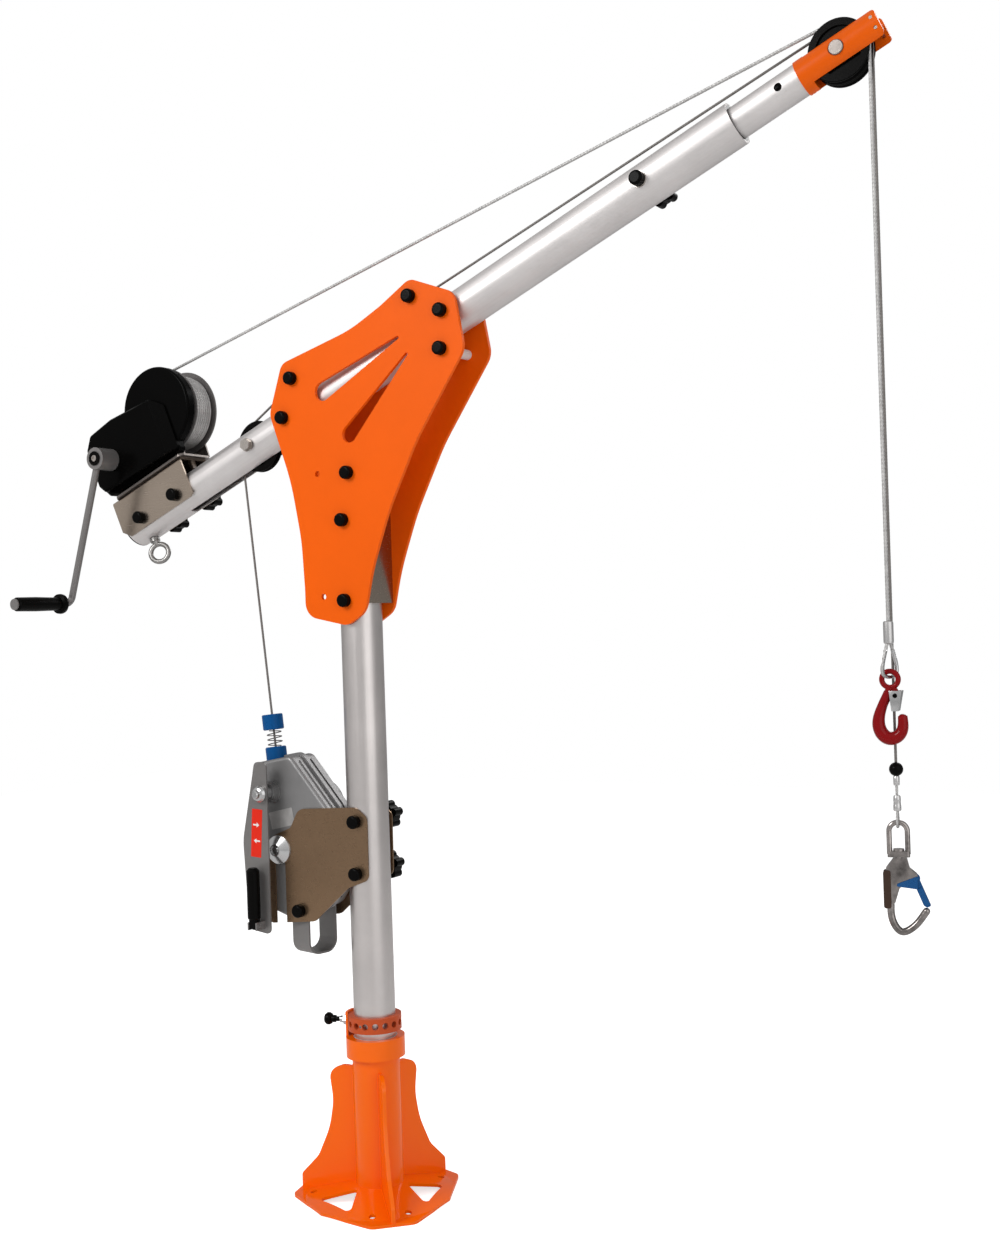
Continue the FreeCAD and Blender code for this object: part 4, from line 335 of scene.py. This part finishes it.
# The lifeline leaves the arrester through a cable guide with a bumper over it, both turned from blue plastic.
# The snap hook's gate is metal with a blue coat.
blue_plastic = finish("blue_plastic", (0.0006, 0.082, 0.275), 0.40, grain_scale=600.0, depth=0.12, shade=0.85,
                      shine=0.12)
dress(blue_plastic, "cable_guide", "cable_bumper")
blue_gate = finish("blue_gate", (0.01, 0.10, 0.30), 0.28, metal=0.6, grain_scale=500.0, depth=0.08)
dress(blue_gate, "snap_gate")

# The hoist hook is forged steel in a thick red gloss that follows the uneven skin of the forging. It hangs by
# its ring in the eye of the hoist rope.
hook_red = finish("hook_red", (0.29, 0.003, 0.005), 0.14, coat=0.05, grain_scale=240.0, depth=0.12, shade=0.8,
                  shine=0.12)
dress(hook_red, "hook_body")

# The snap hook and the bow of its swivel are forged and polished steel. Their colour drifts in small patches
# down to a quarter of its tone, which is painted reflection of the room. The locking lever in the hook's
# back is brown.
polished_painted_reflection = finish("polished_painted_reflection", (0.46, 0.42, 0.40), 0.12, metal=1.0, grain_scale=120.0, depth=0.10, shade=0.25,
                  cloud=34.0)
dress(polished_painted_reflection, "snap_body", "swivel_bow")
lever_brown = finish("lever_brown", (0.070, 0.042, 0.030), 0.34, metal=0.8, grain_scale=500.0, depth=0.1)
dress(lever_brown, "snap_lever")


# The hoist rope's end is held by a pressed aluminium sleeve with rounded ends, which hangs with the hook.
# It is a turned piece: a filled ring that is extruded and widened level by level.
def stack(levels, vertices=40):
    """A turned piece along Z: a filled ring that is extruded and widened from one level to the next."""
    bpy.ops.object.select_all(action="DESELECT")
    bpy.ops.mesh.primitive_circle_add(vertices=vertices, radius=levels[0][1], fill_type="NGON",
                                      location=(0.0, 0.0, levels[0][0]))
    piece = bpy.context.object
    bpy.ops.object.transform_apply(location=True)
    bpy.ops.object.mode_set(mode="EDIT")
    bpy.ops.mesh.select_all(action="SELECT")
    for (low, wide), (high, next_wide) in zip(levels, levels[1:]):
        bpy.ops.mesh.extrude_region_move(TRANSFORM_OT_translate={"value": (0.0, 0.0, high - low)})
        grow = next_wide / wide
        bpy.ops.transform.resize(value=(grow, grow, 1.0), center_override=(0.0, 0.0, high))
    bpy.ops.mesh.select_all(action="SELECT")
    bpy.ops.mesh.normals_make_consistent(inside=False)
    bpy.ops.object.mode_set(mode="OBJECT")
    return piece


def settle(piece, name, place, turned, material, body, smooth=35):
    """Moves a shaped piece to its place in the frame's own axes, dresses it and lets it ride on its body."""
    bpy.ops.object.select_all(action="DESELECT")
    piece.select_set(True)
    bpy.context.view_layer.objects.active = piece
    piece.location = place
    piece.rotation_euler = turned
    bpy.ops.object.transform_apply(location=True, rotation=True, scale=True)
    bpy.ops.object.shade_smooth_by_angle(angle=math.radians(smooth))
    piece.name = name
    piece.data.materials.clear()
    piece.data.materials.append(material)
    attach(piece, body)


fall_x, fall_y = 1.08736, 0.0095
unturned = (0.0, 0.0, 0.0)
pressed = finish("pressed", (0.60, 0.59, 0.585), 0.30, metal=0.9, grain_scale=600.0, depth=0.1, shade=0.85)
ferrule = stack([(1.105, 0.0068), (1.1065, 0.0082), (1.109, 0.0085), (1.139, 0.0085), (1.1415, 0.0082),
                 (1.143, 0.0068)])
settle(ferrule, "hoist_ferrule", (fall_x, -fall_y, 0.0), unturned, pressed, "hook_carrier")
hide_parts("hoist_thimble")

# Below its sleeve the hoist rope turns back on itself in an eye. Like all the wire rope here it is laid up
# from six strands: its section has six lobes that turn with the lay, along points read from a smooth line.
rope_metal = finish("rope_metal", (0.54, 0.53, 0.52), 0.44, metal=0.45, grain_scale=1500.0, depth=0.3,
                    shade=0.72, cloud=60.0)


def curve_of(name, kind, places):
    """A curve of one spline whose points are the given places."""
    line = bpy.data.curves.new(name, "CURVE")
    line.dimensions = "3D"
    spline = line.splines.new(kind)
    spline.points.add(len(places) - 1)
    for point, place in zip(spline.points, places):
        point.co = (place[0], place[1], place[2], 1.0)
    return line


def rope_line(route, steps, gap):
    """Points read from a smooth spline along a route, without those that lie closer than a gap."""
    line = curve_of("route", "NURBS", route)
    line.resolution_u = steps
    line.splines[0].order_u = 3
    line.splines[0].use_endpoint_u = True
    holder = bpy.data.objects.new("route", line)
    scene.collection.objects.link(holder)
    mesh = bpy.data.meshes.new_from_object(holder)
    points = [v.co.copy() for v in mesh.vertices]
    bpy.data.meshes.remove(mesh)
    bpy.data.objects.remove(holder)
    kept = points[:1]
    for point in points[1:-1]:
        if min((point - kept[-1]).length, (point - points[-1]).length) > gap:
            kept.append(point)
    return kept + points[-1:]


def rope(name, routes, radius, lay, steps, wire, gap=0.0, lobe=0.14, strands=6):
    """A laid rope along one or more routes, and the points that each one follows."""
    around = strands * 4
    places = []
    faces = []
    lines = []
    for route in routes:
        points = rope_line(route, steps, gap)
        lines.append(points)
        first = len(places)
        out = Vector((0.0, 1.0, 0.0))
        run = 0.0
        for k, point in enumerate(points):
            before = points[max(k - 1, 0)]
            after = points[min(k + 1, len(points) - 1)]
            along = (after - before).normalized()
            out = (out - along * out.dot(along)).normalized()
            across = along.cross(out)
            run += (point - before).length
            twist = 2 * math.pi * run / lay
            for j in range(around):
                a = 2 * math.pi * j / around
                r = radius * (1.0 - lobe + lobe * abs(math.cos(a * strands / 2)))
                places.append(point + (out * math.cos(a + twist) + across * math.sin(a + twist)) * r)
        for k in range(len(points) - 1):
            for j in range(around):
                a = first + k * around + j
                b = first + k * around + (j + 1) % around
                faces.append((a, b, b + around, a + around))
        last = first + (len(points) - 1) * around
        faces.append(tuple(first + j for j in reversed(range(around))))
        faces.append(tuple(last + j for j in range(around)))
    mesh = bpy.data.meshes.new(name)
    mesh.from_pydata(places, [], faces)
    mesh.update()
    for face in mesh.polygons:
        face.use_smooth = True
    piece = bpy.data.objects.new(name, mesh)
    scene.collection.objects.link(piece)
    mesh.materials.append(wire)
    return piece, lines


def eye_places(half, bottom, turned, beside):
    """The points of an upright eye under a rope: one half, its lowest point and the same half mirrored."""
    flat = half + [(0.0, bottom)] + [(-across, high) for across, high in reversed(half)]
    return [(fall_x + across * math.cos(turned), beside + across * math.sin(turned), high)
            for across, high in flat]


hoist_wide, hoist_lay = 0.006, 0.042
turn_steps = 24
eye_half = [(-0.0039, 1.1065), (-0.0122, 1.0860), (-0.0185, 1.0672), (-0.0172, 1.0520)]
eye_route = eye_places(eye_half, 1.0480, math.radians(66.0), -fall_y)
eye_rope, (eye_line,) = rope("hoist_eye_rope", [eye_route], 0.0029, hoist_lay, turn_steps, rope_metal)
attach(eye_rope, "hook_carrier")


# A gutter of thin zinc plated sheet lines the eye, so that the hook's ring does not bear on the rope. It is a
# tube along the rope that is opened on its outer side, and its wall then gets the thickness of the sheet.
def as_mesh(line):
    """Turns a curve with a round section into a mesh that is selected and active."""
    bpy.ops.object.select_all(action="DESELECT")
    piece = bpy.data.objects.new(line.name, line)
    scene.collection.objects.link(piece)
    piece.select_set(True)
    bpy.context.view_layer.objects.active = piece
    bpy.ops.object.convert(target="MESH")
    return bpy.context.object


def pick(piece, kind, wanted):
    """Enters edit mode with only the wanted edges or faces of a piece selected."""
    bpy.context.tool_settings.mesh_select_mode = (False, kind == "EDGE", kind == "FACE")
    mesh = piece.data
    for items in (mesh.vertices, mesh.edges, mesh.polygons):
        items.foreach_set("select", [False] * len(items))
    for item in (mesh.edges if kind == "EDGE" else mesh.polygons):
        item.select = wanted(item)
    bpy.ops.object.mode_set(mode="EDIT")


def open_sheet(piece, opened, thick):
    """Opens a closed shell at the wanted faces and gives the rest the thickness of a sheet."""
    pick(piece, "FACE", opened)
    bpy.ops.mesh.delete(type="FACE")
    bpy.ops.object.mode_set(mode="OBJECT")
    wall = piece.modifiers.new("sheet", "SOLIDIFY")
    wall.thickness = thick
    wall.offset = -1.0
    bpy.ops.object.modifier_apply(modifier="sheet")


gutter_ends = 8
gutter_path = eye_line[gutter_ends:-gutter_ends]
gutter_curve = curve_of("gutter", "POLY", gutter_path)
gutter_curve.bevel_depth = 0.0034
gutter_curve.bevel_resolution = 5
gutter = as_mesh(gutter_curve)
eye_centre = Vector((fall_x, -fall_y, 1.068))


def outer_side(face):
    """Whether a face of the gutter looks away from the middle of the eye."""
    near = min(gutter_path, key=lambda p: (p - face.center).length)
    away = (near - eye_centre).normalized()
    return (face.center - near).normalized().dot(away) > 0.25


open_sheet(gutter, outer_side, 0.0005)
settle(gutter, "hoist_thimble_gutter", unturned, unturned, zinc, "hook_carrier")


# The hook's latch is folded from zinc plated sheet: two cheeks that taper downwards and straddle the shank,
# joined by a web on the side of the hook's point, with a rivet's head at the top.
def block(wide, deep, tall, along=0.0):
    """A block of a given size at the origin, or moved along X."""
    bpy.ops.object.select_all(action="DESELECT")
    bpy.ops.mesh.primitive_cube_add(size=1.0)
    piece = bpy.context.object
    piece.scale = (wide, deep, tall)
    piece.location = (along, 0.0, 0.0)
    bpy.ops.object.transform_apply(location=True, scale=True)
    return piece


hook_yaw = math.radians(6.0)
latch_wide, latch_deep, latch_tall = 0.0160, 0.0218, 0.0340
top_share, foot_share, foot_shift = 1.32, 0.70, -0.0015
latch = block(latch_wide, latch_deep, latch_tall)
pick(latch, "FACE", lambda f: f.normal.z > 0.9)
bpy.ops.transform.resize(value=(top_share, 1.0, 1.0), center_override=(0.0, 0.0, latch_tall / 2))
bpy.ops.object.mode_set(mode="OBJECT")
pick(latch, "FACE", lambda f: f.normal.z < -0.9)
bpy.ops.transform.resize(value=(foot_share, 1.0, 1.0), center_override=(0.0, 0.0, -latch_tall / 2))
bpy.ops.transform.translate(value=(foot_shift, 0.0, 0.0))
bpy.ops.object.mode_set(mode="OBJECT")
open_sheet(latch, lambda f: f.normal.x < -0.5 or abs(f.normal.z) > 0.7, 0.0012)
soft_edge = latch.modifiers.new("edge", "BEVEL")
soft_edge.width = 0.0005
soft_edge.segments = 2
bpy.ops.object.modifier_apply(modifier="edge")
settle(latch, "hook_latch_sheet", (1.09681, -0.00851, 1.0095), (0.0, 0.0, hook_yaw), zinc,
       "hook_latch")
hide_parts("hook_latch")
rivet = stack([(0.0, 0.0040), (0.0008, 0.0038), (0.0014, 0.0026), (0.0016, 0.0010)], 28)
settle(rivet, "hook_latch_rivet", (1.09746, -0.01947, 1.0185), (math.radians(90), 0.0, hook_yaw), black_paint,
       "hook_latch")

# The hook's bend is forged thicker than its shank and its point. The swelling is a bar along the bend whose
# radius grows towards the middle, in millimetres, and it closes round the bar of the hook at both ends.
bend_points = [(-0.0122, 1.005, 7.8), (-0.0185, 0.990, 9.0), (-0.0214, 0.977, 10.2), (-0.0208, 0.965, 10.9),
               (-0.0158, 0.953, 11.3), (-0.0066, 0.9465, 11.4), (0.0020, 0.946, 11.2), (0.0105, 0.9496, 10.6),
               (0.0168, 0.957, 9.8), (0.0198, 0.967, 8.9), (0.0193, 0.978, 8.2), (0.0190, 0.984, 7.8)]
bend_curve = curve_of("bend", "NURBS", [(across, 0.0, high) for across, high, wide in bend_points])
bend_curve.bevel_depth = 0.001
bend_curve.bevel_resolution = 7
bend_curve.resolution_u = 8
bend_curve.use_fill_caps = True
for point, (across, high, wide) in zip(bend_curve.splines[0].points, bend_points):
    point.radius = wide
bend_curve.splines[0].order_u = 4
bend_curve.splines[0].use_endpoint_u = True
bend = as_mesh(bend_curve)
settle(bend, "hook_bend", (fall_x, -fall_y, 0.0), (0.0, 0.0, hook_yaw), hook_red, "hook")

# The lifeline ends below its ball in two pressed aluminium sleeves and a small loop of rope that holds the
# swivel's bow. The sleeves are extruded level by level, the lower one with the steps that the press leaves.
line_end_place = (fall_x, fall_y, 0.0)
sleeve_up = stack([(0.866, 0.0044), (0.8675, 0.0052), (0.8805, 0.0052), (0.882, 0.0042)], 32)
settle(sleeve_up, "lifeline_sleeve_up", line_end_place, unturned, pressed, "line_end")
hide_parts("lifeline_end")
sleeve_low = stack([(0.823, 0.0060), (0.825, 0.0068), (0.832, 0.0066), (0.833, 0.0062), (0.839, 0.0061),
                    (0.840, 0.0064), (0.847, 0.0060), (0.849, 0.0048)], 32)
settle(sleeve_low, "lifeline_sleeve_low", line_end_place, unturned, pressed, "line_end")
line_wide, line_lay = 0.0048, 0.034
loop_half = [(-0.0028, 0.8245), (-0.0072, 0.8130), (-0.0100, 0.8055), (-0.0093, 0.7975)]
loop_route = eye_places(loop_half, 0.7950, math.radians(100.0), fall_y)
tail_route = [(fall_x, fall_y, 0.8475), (fall_x, fall_y, 0.8575), (fall_x, fall_y, 0.8675)]
tail_rope, _ = rope("lifeline_tail_rope", [loop_route, tail_route], 0.0023, line_lay, turn_steps, rope_metal)
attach(tail_rope, "line_end")


# The snap hook's gate has a blue cheek on each side of the body: a thin plate that runs from the gate's
# pivot to a point over the body's throat. It starts as a block whose one end is drawn to the point.
def beside_snap(along, out, high):
    """A place in the snap hook's own axes, along its width and out of its side."""
    return (fall_x + along * math.cos(snap_yaw) - out * math.sin(snap_yaw),
            fall_y + along * math.sin(snap_yaw) + out * math.cos(snap_yaw), high)


def round_corners(piece, thin, corner):
    """Rounds the edges that run through the thickness of an upright plate."""
    spots = piece.data.vertices
    pick(piece, "EDGE", lambda e: abs(spots[e.vertices[0]].co.y - spots[e.vertices[1]].co.y) > thin / 2)
    bpy.ops.mesh.bevel(offset=corner, segments=4, affect="EDGES")
    bpy.ops.object.mode_set(mode="OBJECT")


snap_yaw = math.radians(14.0)
gate_wide, gate_thin, gate_tall = 0.034, 0.0012, 0.022
point_share, point_drop = 0.20, -0.0045
for cheek_name, cheek_out in (("gate_cheek_near", -0.0080), ("gate_cheek_far", 0.0080)):
    cheek = block(gate_wide, gate_thin, gate_tall)
    pick(cheek, "FACE", lambda f: f.normal.x < -0.9)
    bpy.ops.transform.resize(value=(1.0, 1.0, point_share), center_override=(-gate_wide / 2, 0.0, 0.0))
    bpy.ops.transform.translate(value=(0.0, 0.0, point_drop))
    bpy.ops.object.mode_set(mode="OBJECT")
    round_corners(cheek, gate_thin, 0.0020)
    settle(cheek, cheek_name, beside_snap(0.0125, cheek_out, 0.7030), (0.0, 0.0, snap_yaw), blue_gate,
           "snap_gate")


# The snap hook's lever is folded from brown sheet, and its two cheeks lie on the sides of the hook's body.
# Each is a thin upright block with its corners rounded, and both turn with the lever.
def film(wide, thin, tall, corner):
    """A thin upright sheet whose four corners are rounded."""
    piece = block(wide, thin, tall)
    round_corners(piece, thin, corner)
    return piece


for cheek_name, cheek_out in (("lever_cheek_near", -0.0079), ("lever_cheek_far", 0.0079)):
    cheek = film(0.0125, 0.0010, 0.064, 0.0040)
    settle(cheek, cheek_name, beside_snap(-0.0205, cheek_out, 0.6910), (0.0, 0.0, snap_yaw), lever_brown,
           "snap_lever")

# The winch crank's hub is closed by a ring of black plastic with a bright cap screw sunk in it. Both are
# turned pieces, extruded level by level and laid over so that they face the near side.
hub_x, hub_z = -0.60726, 1.54636
facing = (math.radians(90), 0.0, 0.0)
hub_ring = stack([(0.0, 0.0152), (0.0022, 0.0156), (0.0032, 0.0146), (0.0032, 0.0096), (0.0012, 0.0092)], 48)
settle(hub_ring, "crank_hub_ring", (hub_x, -0.125, hub_z), facing, black_plastic, "crank")
hub_screw = stack([(0.0, 0.0070), (0.0020, 0.0070), (0.0030, 0.0058), (0.0030, 0.0034), (0.0014, 0.0031)], 36)
settle(hub_screw, "crank_hub_screw", (hub_x, -0.1262, hub_z), facing, bolt_steel, "crank")

# A blackened screw holds the fork in the inner boom. Its near black, dull paint is partly the screw's own
# black and partly painted shade of the hole it sits in. Its face is ground flush with the tube, so that the
# tube can slide in over it: the rings of its face are wrapped on the tube's wall.
screw_deep = 0.006
fork_screw = stack([(0.0, 0.0072), (screw_deep, 0.0072), (screw_deep, 0.0058), (screw_deep, 0.0044),
                    (screw_deep, 0.0030), (screw_deep, 0.0015)], 40)
flush = fork_screw.vertex_groups.new(name="face")
flush.add([v.index for v in fork_screw.data.vertices if v.co.z > screw_deep / 2], 1.0, "REPLACE")
settle(fork_screw, "fork_cap_screw", (0.93229, -0.0245, 2.06281), facing, black_paint,
       "inner_boom")
wrap = fork_screw.modifiers.new("wrap", "SHRINKWRAP")
wrap.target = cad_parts["inner_boom"]
wrap.wrap_method = "PROJECT"
wrap.use_project_y = True
wrap.use_negative_direction = True
wrap.use_positive_direction = True
wrap.offset = 0.00003
wrap.vertex_group = "face"
bpy.ops.object.modifier_apply(modifier="wrap")

# The bumper stands on an open coil of spring wire that is squeezed when the bumper is pressed down. It is
# a copy of the CAD coil with the corners of its triangles merged.
bpy.ops.object.select_all(action="DESELECT")
spring = bpy.data.objects.new("bumper_coil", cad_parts["bumper_spring"].data.copy())
scene.collection.objects.link(spring)
spring.select_set(True)
bpy.context.view_layer.objects.active = spring
bpy.ops.object.mode_set(mode="EDIT")
bpy.ops.mesh.select_all(action="SELECT")
bpy.ops.mesh.remove_doubles(threshold=0.000001)
bpy.ops.object.mode_set(mode="OBJECT")
bpy.ops.object.shade_smooth_by_angle(angle=math.radians(60))
spring.data.materials.clear()
spring.data.materials.append(drum_grey)
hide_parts("bumper_spring")
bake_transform(spring)

# A red strip on the retrieval arm shows with two plain arrows which way it folds. The strip and the arrows
# are thin film: a flat block with its corners rounded, and a shaft that is extruded into a head.
strip_red = finish("strip_red", (0.80, 0.022, 0.006), 0.35, grain_scale=500.0, depth=0.05, shade=0.93,
                   shine=0.2)
film_white = finish("film_white", (0.82, 0.80, 0.78), 0.40, grain_scale=500.0, depth=0.05, shade=0.95,
                    shine=0.2)
strip_lean = math.radians(4.0)
strip = film(0.027, 0.0003, 0.100, 0.0015)
settle(strip, "arm_strip", (-0.2290, -0.07815, 0.7410), (0.0, strip_lean, 0.0), strip_red,
       "retrieval_crank")
shaft_long, shaft_thin, shaft_tall = 0.0095, 0.0002, 0.0034
head_long, head_share, tip_share = 0.0065, 3.0, 0.02
for arrow_name, arrow_x, arrow_z, way in (("arm_arrow_up", -0.2280, 0.7580, 0.0),
                                          ("arm_arrow_low", -0.2300, 0.7250, math.pi)):
    arrow = block(shaft_long, shaft_thin, shaft_tall, -shaft_long / 2)
    pick(arrow, "FACE", lambda f: f.normal.x > 0.9)
    bpy.ops.mesh.extrude_region_move(TRANSFORM_OT_translate={"value": (0.0, 0.0, 0.0)})
    bpy.ops.transform.resize(value=(1.0, 1.0, head_share), center_override=(0.0, 0.0, 0.0))
    bpy.ops.mesh.extrude_region_move(TRANSFORM_OT_translate={"value": (head_long, 0.0, 0.0)})
    bpy.ops.transform.resize(value=(1.0, 1.0, tip_share), center_override=(head_long, 0.0, 0.0))
    bpy.ops.mesh.select_all(action="SELECT")
    bpy.ops.mesh.normals_make_consistent(inside=False)
    bpy.ops.object.mode_set(mode="OBJECT")
    settle(arrow, arrow_name, (arrow_x, -0.0784, arrow_z), (0.0, strip_lean + way, 0.0), film_white,
           "retrieval_crank")

# A plain silver plate is stuck on the arrester's housing. It is thin sheet with a raised rim: its face is
# inset by the rim's width and sunk a little.
plate_silver = finish("plate_silver", (0.50, 0.485, 0.475), 0.34, metal=0.5, grain_scale=300.0, depth=0.1,
                      shade=0.8, cloud=50.0)
plate_rim, plate_sunk = 0.0014, 0.00025
plain_plate = film(0.062, 0.0006, 0.036, 0.0020)
pick(plain_plate, "FACE", lambda f: f.normal.y < -0.9)
bpy.ops.mesh.inset(thickness=plate_rim)
bpy.ops.mesh.extrude_region_move(TRANSFORM_OT_translate={"value": (0.0, plate_sunk, 0.0)})
bpy.ops.object.mode_set(mode="OBJECT")
settle(plain_plate, "housing_plate", (-0.1905, -0.0418, 0.7680), (0.0, math.radians(-12.5), 0.0),
       plate_silver, "mast")


hoist_gap = 0.0017
drum_top = (-0.5147, -0.0165, 1.7241)
head_top = (1.0225, -fall_y, 2.1570)
hoist_run_route = [drum_top, (-0.48005, -0.01634, 1.73386), (0.98785, -0.00966, 2.14724), head_top]
hoist_run, (hoist_run_line,) = rope("hoist_run_rope", [hoist_run_route], hoist_wide / 2, hoist_lay, 960,
                                    rope_metal, hoist_gap)
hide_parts("hoist_run")
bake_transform(hoist_run)

fall_top = (fall_x, -fall_y, 2.1079)
hook_top = (fall_x, -fall_y, 1.143)
hoist_fall_route = [fall_top, (fall_x, -fall_y, 2.0719), (fall_x, -fall_y, 1.179), hook_top]
hoist_fall, (hoist_fall_line,) = rope("hoist_fall_rope", [hoist_fall_route], hoist_wide / 2, hoist_lay, 600,
                                      rope_metal, hoist_gap)
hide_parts("hoist_fall")
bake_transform(hoist_fall)

# The lifeline comes up from the arrester, over the rear sheave and the small roller, along the boom, and over
# its own head sheave to the black ball above the snap hook. Its steel wire is thinner, darker and smoother.
line_metal = finish("line_metal", (0.20, 0.185, 0.175), 0.50, metal=0.5, grain_scale=1500.0, depth=0.2,
                    shade=0.85, cloud=60.0, shine=0.3)
line_gap, line_lobe = 0.0014, 0.08
roller_top = (-0.12493, 0.0, 1.69184)
lead_route = [(-0.2316, 0, 0.887), (-0.23456, 0, 0.91585), (-0.29494, 0, 1.50295), (-0.2979, 0, 1.5318),
              (-0.3009, 0, 1.5604), (-0.2885, 0, 1.5863), (-0.2643, 0, 1.6019), (-0.23996, 0, 1.61767),
              (-0.15364, 0, 1.67363), (-0.1293, 0, 1.6894), (-0.1265, 0, 1.6912), roller_top]
lead, (lead_line,) = rope("lifeline_lead_rope", [lead_route], line_wide / 2, line_lay, 480, line_metal,
                          line_gap, line_lobe)
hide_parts("lifeline_lead")
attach(lead, "mast")

line_top = (1.01719, fall_y, 2.15516)
line_run_route = [roller_top, (-0.09806, 0.00022, 1.70274), (0.99032, 0.00928, 2.14426), line_top]
line_run, (line_run_line,) = rope("lifeline_run_rope", [line_run_route], line_wide / 2, line_lay, 900,
                                  line_metal, line_gap, line_lobe)
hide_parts("lifeline_run")
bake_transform(line_run)

line_fall_top = (fall_x, fall_y, 2.1079)
ball_top = (fall_x, fall_y, 0.904)
line_fall_route = [line_fall_top, (fall_x, fall_y, 2.0789), (fall_x, fall_y, 0.933), ball_top]
line_fall, (line_fall_line,) = rope("lifeline_fall_rope", [line_fall_route], line_wide / 2, line_lay, 900,
                                    line_metal, line_gap, line_lobe)
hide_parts("lifeline_fall")
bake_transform(line_fall)

# Over the head sheaves each rope lies in its groove for a little more than a quarter turn. The two wraps are
# short lengths of the same ropes that stay with the fork while the sheaves turn under them.
wrap_route = [head_top, (1.0381, -fall_y, 2.1614), (1.0687, -fall_y, 2.1506), (1.0874, -fall_y, 2.1241),
              (1.0874, -fall_y, 2.1079)]
wraps, _ = rope("head_wrap_ropes", [wrap_route], hoist_wide / 2, hoist_lay, turn_steps, rope_metal)
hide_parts("head_wraps")
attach(wraps, "inner_boom")
line_wrap_route = [line_top, (1.0332, fall_y, 2.1616), (1.0664, fall_y, 2.1526), (1.0874, fall_y, 2.1251),
                   (1.0874, fall_y, 2.1079)]
line_wrap, _ = rope("lifeline_wrap_rope", [line_wrap_route], line_wide / 2, line_lay, turn_steps, line_metal,
                    lobe=line_lobe)
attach(line_wrap, "inner_boom")

# Eight turns of the hoist rope lie side by side on the winch's drum and turn with it. Their points stand a
# little outside the rope's own radius, because the smooth line passes inside them.
drum_x, drum_y, drum_z = -0.49328, -0.0165, 1.64803
turns, turn_points, wound_pitch, wound_start = 8, 12, 0.00645, 1.84531
wound_r, passed_inside = 0.079, 0.9665
point_r = wound_r / passed_inside
wound_route = []
for k in range(turns * turn_points + 1):
    angle = wound_start + math.radians(360 / turn_points) * (k - 0.5)
    wound_route.append((drum_x + point_r * math.cos(angle), drum_y + wound_pitch * k / turn_points,
                        drum_z + point_r * math.sin(angle)))
winding, _ = rope("hoist_winding_rope", [wound_route], hoist_wide / 2, hoist_lay, turn_steps, rope_metal)
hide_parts("hoist_winding")
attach(winding, "drum")
